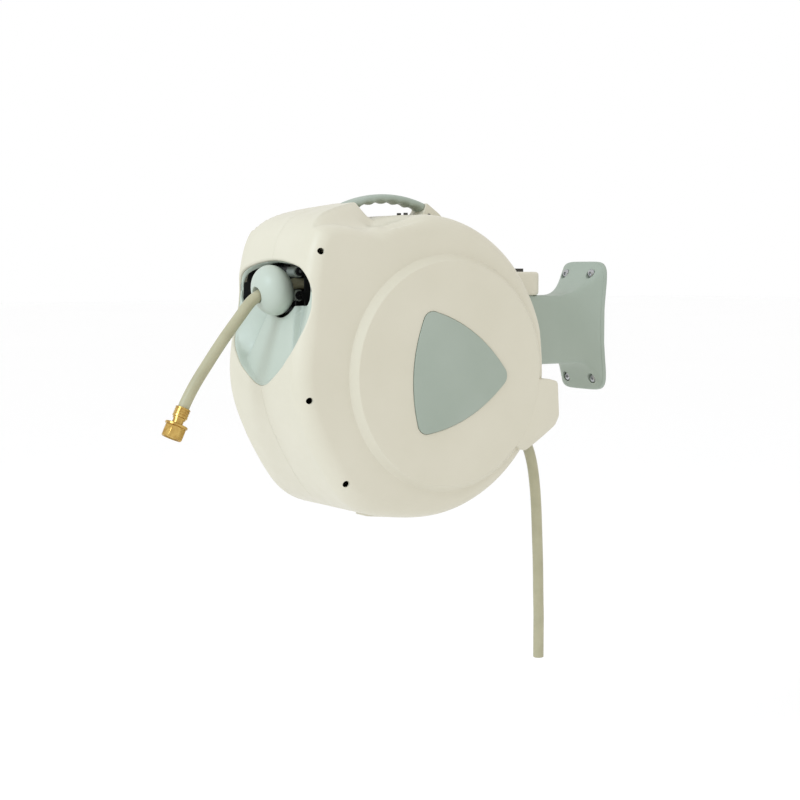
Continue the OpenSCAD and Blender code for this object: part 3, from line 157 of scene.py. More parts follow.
def moulded(name, first, second, rough, grain=0.12):
    """Moulded plastic: a faint cloudiness and a fine spark-eroded grain."""
    mat, tree, bsdf = shader(name)
    cloud = spread(tree, noise(tree, 9.0, 3.0), 0.0, 1.0)
    sheen = spread(tree, noise(tree, 60.0, 4.0), rough - 0.05, rough + 0.06)
    tree.links.new(two_colours(tree, cloud, first, second), bsdf.inputs["Base Color"])
    tree.links.new(sheen, bsdf.inputs["Roughness"])
    bsdf.inputs["Specular IOR Level"].default_value = 0.42
    bump(tree, bsdf, noise(tree, 1500.0, 2.0), grain, 0.0003)
    return mat


def metal(name, first, second, rough, lines):
    """Turned or drawn metal with faint tool lines and tarnish."""
    mat, tree, bsdf = shader(name)
    tarnish = spread(tree, noise(tree, 120.0, 4.0), 0.0, 1.0)
    sheen = spread(tree, noise(tree, 400.0, 3.0), rough - 0.06, rough + 0.08)
    tree.links.new(two_colours(tree, tarnish, first, second), bsdf.inputs["Base Color"])
    tree.links.new(sheen, bsdf.inputs["Roughness"])
    bsdf.inputs["Metallic"].default_value = 1.0
    bump(tree, bsdf, noise(tree, 900.0, 2.0, lines), 0.1, 0.0002)
    return mat


def hose_material():
    """Woven PVC hose: fine ribs along it, a slow colour drift, a soft gloss."""
    mat, tree, bsdf = shader("hose")
    place = tree.nodes.new("ShaderNodeTexCoord")
    wave = tree.nodes.new("ShaderNodeTexWave")
    wave.bands_direction = "X"
    wave.inputs["Scale"].default_value = 9.0
    wave.inputs["Distortion"].default_value = 0.4
    tree.links.new(place.outputs["UV"], wave.inputs["Vector"])
    drift = spread(tree, noise(tree, 35.0, 3.0), 0.0, 1.0)
    colour = two_colours(tree, drift, srgb(174, 170, 141), srgb(163, 159, 130))
    tree.links.new(colour, bsdf.inputs["Base Color"])
    tree.links.new(spread(tree, noise(tree, 220.0, 3.0), 0.34, 0.46), bsdf.inputs["Roughness"])
    bsdf.inputs["Subsurface Weight"].default_value = 0.08
    bsdf.inputs["Subsurface Radius"].default_value = (0.004, 0.003, 0.002)
    bump(tree, bsdf, wave.outputs["Fac"], 0.14, 0.0004)
    return mat


FINISH = {
    "cream_plastic": moulded("cream_plastic", srgb(208, 203, 185), srgb(204, 199, 180), 0.42),
    "sage_plastic": moulded("sage_plastic", srgb(159, 169, 157), srgb(152, 163, 150), 0.45),
    "pale_sage_plastic": moulded("pale_sage_plastic", srgb(183, 192, 180), srgb(177, 187, 174), 0.4),
    # inner_plastic is nearly black: painted shade of the casing's inside, on the slot's end sheets and the
    # inner solids.
    "inner_plastic": moulded("inner_plastic", srgb(36, 37, 37), srgb(29, 30, 30), 0.55),
    "black_rubber": moulded("black_rubber", srgb(30, 30, 31), srgb(22, 22, 23), 0.62, 0.3),
    "hose": hose_material(),
    "brass": metal("brass", srgb(206, 174, 102), srgb(172, 136, 72), 0.24, (1.0, 1.0, 6.0)),
    "steel": metal("steel", srgb(190, 191, 192), srgb(165, 166, 168), 0.3, (1.0, 6.0, 6.0)),
    "dark_steel": metal("dark_steel", srgb(84, 83, 80), srgb(66, 65, 63), 0.42, (1.0, 1.0, 1.0)),
}


# Mesh helpers

def mesh_piece(name, verts, faces):
    """A closed mesh object from points in metres."""
    mesh = bpy.data.meshes.new(name)
    bm = bmesh.new()
    made = [bm.verts.new(v) for v in np.asarray(verts, float)]
    for face in faces:
        bm.faces.new([made[i] for i in face])
    bmesh.ops.recalc_face_normals(bm, faces=bm.faces)
    if bm.calc_volume(signed=True) < 0:
        bmesh.ops.reverse_faces(bm, faces=bm.faces)
    for face in bm.faces:
        face.smooth = True
    bm.to_mesh(mesh)
    bm.free()
    obj = bpy.data.objects.new(name, mesh)
    bpy.context.scene.collection.objects.link(obj)
    return obj


def grid_faces(rows, cols, first=0, wrap=True):
    """Quads between rows of a grid of points."""
    faces = []
    for j in range(rows - 1):
        for i in range(cols if wrap else cols - 1):
            a, k = first + j * cols, (i + 1) % cols
            faces.append((a + i, a + k, a + cols + k, a + cols + i))
    return faces


def tube_faces(rows, cols):
    """Quads of a skin whose last row joins its first."""
    last = (rows - 1) * cols
    joint = [(last + i, last + (i + 1) % cols, (i + 1) % cols, i) for i in range(cols)]
    return grid_faces(rows, cols) + joint


def sharpen(obj, angle):
    """Marks the edges that turn by more than an angle in degrees as sharp."""
    obj.data.set_sharp_from_angle(angle=math.radians(angle))


def turns(count):
    """Angles of a circle's points, in radians."""
    return np.linspace(0.0, 2 * math.pi, count, endpoint=False)


def loft(name, rings, angle=None, flat=False):
    """A closed skin over rings of equally many points, its ends capped by flat faces or by fans."""
    rings = np.asarray(rings, float)
    rows, cols = rings.shape[:2]
    verts = list(rings.reshape(-1, 3))
    faces = grid_faces(rows, cols)
    for row in (0, rows - 1):
        start = row * cols
        if flat:
            faces.append([start + i for i in range(cols)])
        else:
            verts.append(rings[row].mean(axis=0))
            faces += [(start + i, start + (i + 1) % cols, len(verts) - 1) for i in range(cols)]
    obj = mesh_piece(name, verts, faces)
    if angle is not None:
        sharpen(obj, angle)
    return obj


def dress(obj, body, slot, *nodes):
    """Gives a piece the material of its slot and a body, and hides the nodes that it replaces."""
    obj.data.materials.clear()
    obj.data.materials.append(FINISH[slot])
    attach(obj, body)
    if nodes:
        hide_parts(*nodes)
    return obj


def outline_normals(outline):
    """Outward normals of a closed outline that runs anticlockwise."""
    side = np.roll(outline, -1, axis=0) - np.roll(outline, 1, axis=0)
    normal = np.stack([side[:, 1], -side[:, 0]], axis=1)
    return normal / np.linalg.norm(normal, axis=1, keepdims=True)


def anticlockwise(outline):
    """The outline, turned round where it runs clockwise."""
    x, y = outline[:, 0], outline[:, 1]
    area = np.sum(x * np.roll(y, -1) - np.roll(x, -1) * y)
    return outline if area > 0 else outline[::-1]


def slab_rings(outline, low, high, edge, steps=5):
    """Rings of a slab with rounded edges: the outline's plane, then the height."""
    outline = anticlockwise(np.asarray(outline, float))
    normal = outline_normals(outline)
    quarter = np.linspace(0.0, math.pi / 2, steps)
    rings = []
    for t in quarter:
        rings.append((outline - normal * edge * (1 - math.sin(t)), low + edge * (1 - math.cos(t))))
    for t in quarter[::-1]:
        rings.append((outline - normal * edge * (1 - math.sin(t)), high - edge * (1 - math.cos(t))))
    return rings


def across(x, outline):
    """Scene points of a [forward, up] outline about the drum axis, at a place across."""
    return world(np.column_stack([np.full(len(outline), x), outline]))


def span(side, near, far):
    """The two places across of a piece on one side, the lower one first."""
    return sorted((side * near, side * far))


def side_slab(name, outline, x0, x1, edge):
    """A rounded slab across the reel; its outline is [forward, up] about the drum axis."""
    rings = [across(x, o) for o, x in slab_rings(outline, x0, x1, edge)]
    return loft(name, rings, angle=50, flat=True)


def rounded(outline, steps=2):
    """Cuts the corners of a closed outline."""
    outline = np.asarray(outline, float)
    for _ in range(steps):
        after = np.roll(outline, -1, axis=0)
        pair = [0.75 * outline + 0.25 * after, 0.25 * outline + 0.75 * after]
        outline = np.stack(pair, axis=1).reshape(-1, 2)
    return outline


def dense(outline, gap):
    """Puts points on the sides of a closed outline, no further apart than a gap."""
    outline = np.asarray(outline, float)
    points = []
    for a, b in zip(outline, np.roll(outline, -1, axis=0)):
        count = max(1, int(np.ceil(np.linalg.norm(b - a) / gap)))
        points += [a + (b - a) * i / count for i in range(count)]
    return np.array(points)


def spline(points, count, closed=False):
    """Catmull-Rom through points, resampled evenly along its length."""
    p = np.asarray(points, float)
    if closed:
        ext = np.vstack([p[-1:], p, p[:2]])
    else:
        ext = np.vstack([2 * p[0] - p[1], p, 2 * p[-1] - p[-2]])
    t = np.linspace(0.0, 1.0, 40, endpoint=False)[:, None]
    line = []
    for i in range(len(ext) - 3):
        a, b, c, d = ext[i:i + 4]
        line.append(0.5 * (2 * b + (c - a) * t + (2 * a - 5 * b + 4 * c - d) * t ** 2
                           + (3 * b - a - 3 * c + d) * t ** 3))
    line = np.vstack(line + [ext[-2:-1]])
    run = np.concatenate([[0.0], np.cumsum(np.linalg.norm(np.diff(line, axis=0), axis=1))])
    at = np.linspace(0.0, run[-1], count, endpoint=not closed)
    return np.column_stack([np.interp(at, run, line[:, k]) for k in range(p.shape[1])])


def cut(obj, cutters, operation="DIFFERENCE"):
    """Cuts or joins closed meshes and removes the cutters."""
    for cutter in cutters:
        mod = obj.modifiers.new("cut", "BOOLEAN")
        mod.operation = operation
        mod.solver = "EXACT"
        mod.object = cutter
    bpy.context.view_layer.update()
    graph = bpy.context.evaluated_depsgraph_get()
    new = bpy.data.meshes.new_from_object(obj.evaluated_get(graph))
    obj.modifiers.clear()
    obj.data = new
    for cutter in cutters:
        bpy.data.objects.remove(cutter)


def skin_of(obj):
    """The skin of a mesh, for finding its places and normals after it has been cut."""
    mesh = obj.data
    mesh.calc_loop_triangles()
    verts = [v.co.copy() for v in mesh.vertices]
    normals = [v.normal.copy() for v in mesh.vertices]
    tris = [tuple(t.vertices) for t in mesh.loop_triangles]
    return BVHTree.FromPolygons(verts, tris), verts, normals, tris


def keep_shading(obj, skin, near=0.0004, turn=0.8):
    """Gives a cut mesh the smooth normals that its skin had before."""
    tree, verts, normals, tris = skin
    mesh = obj.data
    out = [None] * len(mesh.loops)
    for face in mesh.polygons:
        face.use_smooth = True
        for loop in face.loop_indices:
            co = mesh.vertices[mesh.loops[loop].vertex_index].co
            hit, _, index, _ = tree.find_nearest(co, near)
            normal = face.normal
            if index is not None:
                a, b, c = tris[index]
                soft = barycentric_transform(hit, verts[a], verts[b], verts[c],
                                             normals[a], normals[b], normals[c])
                soft.normalize()
                if soft.dot(normal) > turn:
                    normal = soft
            out[loop] = normal
    mesh.normals_split_custom_set(out)


# Cords: the outlet hose and the leader hose, along the routes of the solids

OUTLET_ROUTE = [(204, 124.6), (220, 120.6), (236, 116.6), (244, 114), (252, 110.2), (261, 104),
                (268.5, 96.3), (280, 82.6), (294, 65.9), (307, 50), (320, 33), (333, 15.5), (345, -1),
                (356, -18), (365, -34), (373, -51)]
LEADER_ROUTE = [(-148, -88), (-157, -106), (-166, -124), (-173, -148), (-178, -180), (-181, -215),
                (-183, -255), (-185, -300), (-186, -345), (-187, -375), (-187, -400), (-187, -420),
                (-187, -440)]
HOSE_R, HOSE_BORE_R, HOSE_RIM_R, HOSE_EDGE = 8.0, 6.25, 6.8, 0.7
HOSE_SIDES, HOSE_POINTS = 32, 72
LEADER_X, LEADER_BORE = 83.0, 38.0


def hose_rings(path, radius):
    """Rings about a path that stays in one plane across the reel."""
    along = np.gradient(path, axis=0)
    along /= np.linalg.norm(along, axis=1, keepdims=True)
    side = np.array([1.0, 0.0, 0.0])
    up = np.cross(along, side)
    t = turns(HOSE_SIDES)
    spokes = np.cos(t)[None, :, None] * side + np.sin(t)[None, :, None] * up[:, None, :]
    return path[:, None, :] + radius * spokes


def hose(name, route, x, bore=None):
    """A hose along [forward, up] points, its far end open where it has a bore depth."""
    path = across(x, spline(route, HOSE_POINTS))
    rings = hose_rings(path, HOSE_R * MM)
    if bore is not None:
        inner = hose_rings(path, HOSE_BORE_R * MM)
        edge = hose_rings(path, (HOSE_R - HOSE_EDGE) * MM)
        ahead = path[-1] - path[-2]
        ahead /= np.linalg.norm(ahead)
        rings[-1] -= ahead * HOSE_EDGE * MM
        depth = [inner[-1] - ahead * d * MM for d in (0.6, bore * 0.5, bore)]
        rim = [edge[-1], hose_rings(path, HOSE_RIM_R * MM)[-1]]
        rings = np.concatenate([rings, rim, depth])
    obj = loft(name, rings, angle=40)
    uv = obj.data.uv_layers.new(name="along")
    place = {}
    for j in range(len(rings)):
        for i in range(HOSE_SIDES):
            place[j * HOSE_SIDES + i] = (i / HOSE_SIDES, j / len(rings))
    for face in obj.data.polygons:
        wraps = {obj.data.loops[k].vertex_index % HOSE_SIDES for k in face.loop_indices}
        seam = 0 in wraps and HOSE_SIDES - 1 in wraps
        for k in face.loop_indices:
            u, v = place.get(obj.data.loops[k].vertex_index, (0.5, 0.5))
            uv.data[k].uv = (u + 1.0 if seam and u == 0.0 else u, v)
    length = float(np.sum(np.linalg.norm(np.diff(path, axis=0), axis=1)))
    return obj, path, length


outlet, outlet_path, outlet_length = hose("outlet_hose_tube", OUTLET_ROUTE, 0.0)
dress(outlet, "reel", "hose", "outlet_hose")
leader, leader_path, leader_length = hose("leader_hose_tube", LEADER_ROUTE, LEADER_X, LEADER_BORE)
dress(leader, "reel", "hose", "leader_hose")


# Brass end of the outlet hose

END_DIR = np.array([0.0, 8.0, -17.0]) / math.hypot(8.0, 17.0)
END_AT = np.array([0.0, *OUTLET_ROUTE[-1]], float)
END_SIDE = np.array([1.0, 0.0, 0.0])
END_UP = np.cross(END_DIR, END_SIDE)
TURN = turns(96)


def turned(name, profile, corners=0, centre=END_AT, along=END_DIR, side=END_SIDE, up=END_UP):
    """A turned piece from [along, radius] rows; a third value is the corner radius of a many sided row."""
    rings = []
    for row in profile:
        d, r = row[0], np.full(len(TURN), float(row[1]))
        if corners and len(row) > 2:
            part = 2 * math.pi / corners
            flat = math.cos(part / 2) / np.cos((TURN % part) - part / 2)
            r = np.minimum(r, row[2] * flat)
        spokes = np.cos(TURN)[:, None] * side + np.sin(TURN)[:, None] * up
        rings.append(centre + along * d + r[:, None] * spokes)
    rings = np.asarray(rings)
    obj = mesh_piece(name, world(rings.reshape(-1, 3)), tube_faces(len(rings), len(TURN)))
    sharpen(obj, 35)
    return obj


NUT_R, NUT_SIDES, THREADS, PITCH = 15.0, 8, 9, 1.2
nut_rows = [(9.0, 8.0), (9.0, 14.6), (9.6, 15.8), (12.2, 15.9), (12.9, 15.0), (13.2, 14.0),
            (13.6, 14.9, NUT_R), (15.0, 15.0, NUT_R), (27.6, 15.0, NUT_R), (29.2, 14.3, NUT_R),
            (30.0, 13.6, NUT_R), (30.0, 12.9)]
for k in range(THREADS):
    nut_rows += [(29.4 - PITCH * k, 12.75 if k else 12.9), (28.8 - PITCH * k, 12.3)]
nut_rows += [(18.5, 12.3), (18.3, 11.7), (12.8, 11.7), (12.7, 8.0)]
nut = dress(turned("outlet_nut_brass", nut_rows, NUT_SIDES), "nut", "brass", "outlet_nut")

ferrule_rows = [(-14.0, 8.35), (-14.0, 9.9), (-13.4, 10.5)]
for d in (-11.0, -7.5, -4.0):
    ferrule_rows += [(d - 0.9, 10.5), (d - 0.5, 10.0), (d + 0.5, 10.0), (d + 0.9, 10.5)]
ferrule_rows += [(-0.6, 10.5), (0.0, 9.9), (0.0, 8.35)]
ferrule = dress(turned("outlet_ferrule_brass", ferrule_rows), "reel", "brass", "outlet_ferrule")


# Casing

CASING_R, CASING_F, CASING_Z, HALF_W, WALL = 215.0, 31.0, 10.0, 104.0, 3.0
EDGE_R, HOOD_EDGE_R, FULL_RISE, REAR_FLAT = 24.0, 22.0, 45.0, 178.0
CHIN_RISE, CHIN_ANGLE, CHIN_SPREAD = 13.0, -49.0, 15.0
PLATEAU_R, PLATEAU_RISE, PLATEAU_STEP, PLATEAU_TOP_R = 160.0, 10.0, 10.0, 158.0
PLATEAU_X = HALF_W + PLATEAU_RISE
HOOD_FRONT, HOOD_TOP, HOOD_SLOPE, HOOD_BLEND = 249.0, 257.0, 10.0, 27.0
HOOD_START, HOOD_END, HOOD_FALL, HOOD_LEAN = -20.0, 66.0, 1.5, 8.0
HOOD_TAPER, HOOD_REAR_W, HOOD_SLOPE_W, HOOD_REAR_SLOPE_W = 44.0, 54.0, 60.0, 28.0
SCOOP_DEPTH, SCOOP_START, SCOOP_END, SCOOP_IN, SCOOP_OUT = 7.0, 59.0, 84.0, 40.0, 103.5
SEAM_X, SEAM_EDGE, SEAM_DIP = 0.08, 0.4, 0.15
OFFSET = math.hypot(CASING_F, CASING_Z)
OFFSET_A = math.degrees(math.atan2(CASING_Z, CASING_F))


def cosd(a):
    """Cosine of an angle in degrees."""
    return np.cos(np.radians(a))


def sind(a):
    """Sine of an angle in degrees."""
    return np.sin(np.radians(a))


def circle_r(a):
    """Radius of the round band about the drum axis."""
    return OFFSET * cosd(a - OFFSET_A) + np.sqrt(CASING_R ** 2 - (OFFSET * sind(a - OFFSET_A)) ** 2)


def plain_r(a):
    """Radius of the round band with its chin."""
    return circle_r(a) + CHIN_RISE * np.exp(-((a - CHIN_ANGLE) / CHIN_SPREAD) ** 2)


def hood_r(a):
    """Radius of the hood: its front and top faces, blended at their corner."""
    front = HOOD_FRONT / cosd(a - HOOD_LEAN)
    top = HOOD_TOP / cosd(a - 90.0 + HOOD_SLOPE)
    return -HOOD_BLEND * np.log(np.exp(-front / HOOD_BLEND) + np.exp(-top / HOOD_BLEND))


def band_r(a):
    """Radius of the casing's outline at angles from -180 to 180 above the forward direction."""
    a = np.asarray(a, float)
    plain = plain_r(a)
    rear = cosd(a) < -0.5
    flat = np.where(rear, -REAR_FLAT / np.where(rear, cosd(a), -1.0), plain)
    start = smooth((a - HOOD_START) / (HOOD_LEAN - HOOD_START))
    on = np.clip((HOOD_END + HOOD_FALL - a) / HOOD_FALL, 0.0, start)
    hood = hood_r(np.clip(a, HOOD_LEAN, HOOD_END + HOOD_FALL))
    return np.minimum(flat, plain) + on * np.maximum(0.0, hood - plain)


def hood_share(a):
    """Share of the hood's full rise at an angle."""
    r = band_r(a)
    return np.minimum(1.0, (r - np.minimum(r, plain_r(a))) / FULL_RISE)


def rim_edge(a):
    """Round of the casing's edge, measured across."""
    return EDGE_R + (HOOD_EDGE_R - EDGE_R) * hood_share(a)


def across_r(a, x):
    """Radius of the band at a place across, where the hood slopes down to the round band."""
    plain = np.minimum(band_r(a), plain_r(a))
    taper = np.clip((a - HOOD_TAPER) / (HOOD_END - HOOD_TAPER), 0.0, 1.0)
    full = HALF_W - EDGE_R + HOOD_SLOPE_W + 1.0
    half_w = full - (full - HOOD_REAR_W) * taper
    slope_w = HOOD_SLOPE_W - (HOOD_SLOPE_W - HOOD_REAR_SLOPE_W) * taper
    t = np.clip((half_w - x) / slope_w, 0.0, 1.0)
    return plain + (band_r(a) - plain) * (0.6 * t * t + 0.4 * smooth(t))


def rim_r(a):
    """Radius of the band where the edge's round starts."""
    return across_r(a, HALF_W - rim_edge(a))


def rim_drop(a):
    """Round of the casing's edge, measured towards the drum axis."""
    return np.minimum(rim_edge(a), rim_r(a) - PLATEAU_R - PLATEAU_STEP - 1.0)


def scoop(a, x):
    """Depth of the finger scoop in the shoulder under the grip."""
    window = smooth((a - SCOOP_START) / 6.0) * smooth((SCOOP_END - a) / 14.0)
    return SCOOP_DEPTH * window * smooth((x - SCOOP_IN) / 30.0) * smooth((SCOOP_OUT - x) / 9.0)


def ramp(s):
    """A straight slope from 0 to 1 with short rounds at its ends."""
    return np.interp(s, [0.0, 0.06, 0.11, 0.16, 0.84, 0.89, 0.94, 1.0],
                     [0.0, 0.0, 0.015, 0.06, 0.94, 0.985, 1.0, 1.0])


def casing_grid():
    """Points [across, forward, up] of one half's skin, rows from the seam to the middle of the side."""
    a = np.unique(np.round(np.concatenate([np.arange(-180.0, 180.0, 2.0), np.arange(-14.0, 64.0, 1.0),
                                           np.arange(64.0, 70.0, 0.25), np.arange(70.0, 96.0, 1.0)]), 3))
    r, e, d = rim_r(a), rim_edge(a), rim_drop(a)
    inner = HALF_W - e
    rows = [(np.full_like(a, SEAM_X), band_r(a) - SEAM_DIP), (np.full_like(a, SEAM_EDGE), band_r(a))]
    for s in np.linspace(0.0, 1.0, 22)[1:]:
        x = SEAM_EDGE + (inner - SEAM_EDGE) * s
        rows.append((x, across_r(a, x)))
    for t in np.linspace(0.0, math.pi / 2, 17)[1:]:
        rows.append((inner + e * math.sin(t), r - d + d * math.cos(t)))
    foot = PLATEAU_R + PLATEAU_STEP
    for s in np.linspace(0.0, 1.0, 9)[1:]:
        rows.append((np.full_like(a, HALF_W), (r - d) + (foot - (r - d)) * s))
    for s in (0.06, 0.11, 0.16, 0.33, 0.5, 0.67, 0.84, 0.89, 0.94, 1.0):
        climb = foot - (foot - PLATEAU_TOP_R) * s
        rows.append((np.full_like(a, HALF_W + PLATEAU_RISE * ramp(s)), np.full_like(a, climb)))
    for s in (0.97, 0.85, 0.7, 0.5, 0.3, 0.1):
        rows.append((np.full_like(a, PLATEAU_X), np.full_like(a, PLATEAU_TOP_R * s)))
    grid = []
    for x, rad in rows:
        rad = rad - scoop(a, x)
        grid.append(np.column_stack([x, rad * cosd(a), rad * sind(a)]))
    return np.asarray(grid)


GRID = casing_grid()


def shell_solid(name, side):
    """One half of the casing as a closed skin with a wall."""
    rows, cols = GRID.shape[:2]
    du = np.roll(GRID, -1, axis=1) - np.roll(GRID, 1, axis=1)
    dv = np.gradient(GRID, axis=0)
    normal = np.cross(du, dv)
    normal /= np.maximum(np.linalg.norm(normal, axis=2, keepdims=True), 1e-9)
    inside = np.array([40.0, 0.0, 0.0])
    normal *= np.sign(np.sum(normal * (GRID - inside), axis=2, keepdims=True))
    inner = GRID - normal * WALL
    inner[..., 0] = np.maximum(inner[..., 0], SEAM_X)
    seam_r = np.linalg.norm(GRID[1, :, 1:], axis=1, keepdims=True)
    inner[0] = GRID[1] * [0.0, 1.0, 1.0] * (1 - WALL / seam_r)
    inner[0, :, 0] = SEAM_X
    points = np.concatenate([GRID.reshape(-1, 3), inner.reshape(-1, 3),
                             [[PLATEAU_X, 0.0, 0.0], [PLATEAU_X - WALL, 0.0, 0.0]]]) * [side, 1.0, 1.0]
    total = rows * cols
    faces = grid_faces(rows, cols) + grid_faces(rows, cols, total)
    for i in range(cols):
        k = (i + 1) % cols
        faces.append((i, k, total + k, total + i))
        faces.append((total - cols + i, total - cols + k, 2 * total))
        faces.append((2 * total - cols + i, 2 * total - cols + k, 2 * total + 1))
    return mesh_piece(name, world(points), faces)


# Mouth outline and its rounded lip

MOUTH_HALF_W, MOUTH_TOP, MOUTH_DROP = 98.5, 160.0, 13.0
MOUTH_SHARES = [(0, 0), (0.142, 0.0145), (0.264, 0.046), (0.462, 0.113), (0.6, 0.17), (0.7, 0.228),
                (0.772, 0.269), (0.853, 0.331), (0.904, 0.398), (0.949, 0.464), (0.98, 0.538),
                (0.998, 0.607), (1, 0.67), (0.99, 0.755), (0.965, 0.812), (0.93, 0.852), (0.88, 0.888),
                (0.8, 0.92), (0.69, 0.945), (0.508, 0.968), (0.274, 0.987), (0, 0.994)]
MOUTH_POINTS = 240
LIP_TIP_R, LIP_GAIN, LIP_START, LIP_RUN, LIP_T = 1.2, 3.9, 5.0, 70.0, 2.0
right_half = [(s * MOUTH_HALF_W, t * (MOUTH_TOP + MOUTH_DROP) - MOUTH_DROP) for s, t in MOUTH_SHARES]
left_half = [(-x, z) for x, z in right_half[-2:0:-1]]
MOUTH = spline(np.array(right_half + left_half), MOUTH_POINTS, closed=True)
MOUTH_NORMAL = outline_normals(MOUTH)
MOUTH_MID = np.array([0.0, (MOUTH_TOP - MOUTH_DROP) / 2])


def lip_r(z):
    """Radius of the lip: small at the tip, full beside the slot."""
    return LIP_TIP_R + LIP_GAIN * smooth((np.asarray(z) - LIP_START) / LIP_RUN)


def prism(name, outline, f0, f1):
    """A cutter that runs forward; its outline is [across, up] about the drum axis."""
    x, z = outline[:, 0], outline[:, 1]
    return loft(name, [world(np.column_stack([x, np.full(len(outline), f), z])) for f in (f0, f1)])


def rod(name, at, ends, radius, sides=40):
    """A round cutter across the reel, at [forward, up]."""
    t = turns(sides)
    ring = np.column_stack([at[0] + radius * np.cos(t), at[1] + radius * np.sin(t)])
    return loft(name, [across(x, ring) for x in ends])


BOSS_INSET, BOSS_R, BOSS_CUP, SCREW_CUT_R = 14.0, 7.0, 12.0, 4.6
SCREW_ANGLES = {"right": [39.0, -7.0, -40.0], "left": [-66.0, 84.0, 122.0, -128.0, -98.0]}


def screw_place(a):
    """A casing screw's place as [forward, up]."""
    r = float(band_r(a)) - BOSS_INSET
    return r * cosd(a), r * sind(a)


def head_seat(a):
    """Place across of a casing screw's seat, at the bottom of its recess."""
    d = float(rim_drop(a))
    t = math.acos((d - BOSS_INSET + BOSS_R) / d)
    edge = float(rim_edge(a))
    return HALF_W - edge + (edge - WALL / 2) * math.sin(t) - BOSS_CUP


BADGE_TURN, BADGE_REACH, BADGE_CORNER, BADGE_SIDE_R, BADGE_ARC = 184.0, 97.0, 16.0, 230.0, 46.0
BADGE_GROOVE, BADGE_SEAT, BADGE_BACK, BADGE_FACE = 0.8, 1.6, 112.5, 116.0


def badge_outline(grow, steps=20):
    """A rounded triangle with bowed sides, as [forward, up]."""
    arcs = []
    for i in range(3):
        mid = BADGE_TURN + 120.0 * i
        a = mid - BADGE_ARC + 2 * BADGE_ARC * np.arange(steps + 1) / steps
        centre = (BADGE_REACH - BADGE_CORNER) * np.array([cosd(mid), sind(mid)])
        arcs.append(centre + (BADGE_CORNER + grow) * np.column_stack([cosd(a), sind(a)]))
    points = []
    for i in range(3):
        a, b = arcs[i][-1], arcs[(i + 1) % 3][0]
        half_l = np.linalg.norm(b - a) / 2
        sag = BADGE_SIDE_R - math.sqrt(BADGE_SIDE_R ** 2 - half_l ** 2)
        out = (a + b) / np.linalg.norm(a + b)
        t = (np.arange(1, steps) / steps)[:, None]
        points += [arcs[i], a + t * (b - a) + 4 * t * (1 - t) * sag * out]
    return np.vstack(points)


GROWN_MOUTH = MOUTH + MOUTH_NORMAL * lip_r(MOUTH[:, 1])[:, None]
CUT_BACK, MOUTH_CUT_FRONT, SLOT_CUT_FRONT = 150.0, 330.0, 300.0
SHELLS = {}
for side, label in HANDS:
    shell = shell_solid(label + "_shell_skin", side)
    skin = skin_of(shell)
    groove = badge_outline(BADGE_GROOVE)
    groove_ends = span(side, PLATEAU_X - BADGE_SEAT, PLATEAU_X + 6.0)
    cutters = [prism("mouth_cut", GROWN_MOUTH, CUT_BACK, MOUTH_CUT_FRONT),
               loft("badge_cut", [across(x, groove) for x in groove_ends])]
    for a in SCREW_ANGLES[label]:
        recess = span(side, head_seat(a) + 0.2, PLATEAU_X + 20.0)
        cutters.append(rod("screw_cut", screw_place(a), recess, SCREW_CUT_R))
    cut(shell, cutters)
    keep_shading(shell, skin)
    dress(shell, "reel", "cream_plastic", label + "_shell")
    SHELLS[label] = skin

FAR = 400.0


def front_skin(x, z):
    """Forward distance of the casing's skin at a place on its front, by a ray from ahead."""
    label = "right" if x >= 0 else "left"
    x = math.copysign(max(abs(x), 0.7), x)
    start = Vector(world([x, FAR, z]))
    hit, _, _, gap = SHELLS[label][0].ray_cast(start, Vector((0.0, 1.0, 0.0)))
    return FAR - gap / MM if hit is not None else 200.0


for side, label in HANDS:
    picked = np.where(MOUTH[:, 0] * side > -0.5)[0]
    order = picked[np.argsort(MOUTH[picked, 1])]
    rows = []
    steps = [(1.05, -0.25)] + [(1 - math.sin(t), 1 - math.cos(t)) for t in np.linspace(0.0, math.pi / 2, 11)]
    steps += [(0.0, 1.6), (0.0, 2.4)]
    for out, deep in steps:
        line = []
        for i in order:
            r = float(lip_r(MOUTH[i, 1]))
            x, z = MOUTH[i] + MOUTH_NORMAL[i] * r * out
            x = side * max(SEAM_X, side * x)
            line.append((x, front_skin(x, z) - (0.2 if deep < 0 else r * deep), z))
        rows.append(line)
    rows = np.asarray(rows)
    front = world(rows)
    back = world(rows - np.array([0.0, LIP_T, 0.0]))
    count, n = rows.shape[:2]
    verts = np.concatenate([front.reshape(-1, 3), back.reshape(-1, 3)])
    faces = grid_faces(count, n, 0, False) + grid_faces(count, n, count * n, False)
    total = count * n
    for i in range(n - 1):
        for j in (0, count - 1):
            faces.append((j * n + i, j * n + i + 1, total + j * n + i + 1, total + j * n + i))
    for j in range(count - 1):
        for i in (0, n - 1):
            faces.append((j * n + i, (j + 1) * n + i, total + (j + 1) * n + i, total + j * n + i))
    lip = mesh_piece(label + "_mouth_lip", verts, faces)
    sharpen(lip, 60)
    dress(lip, "reel", "cream_plastic")
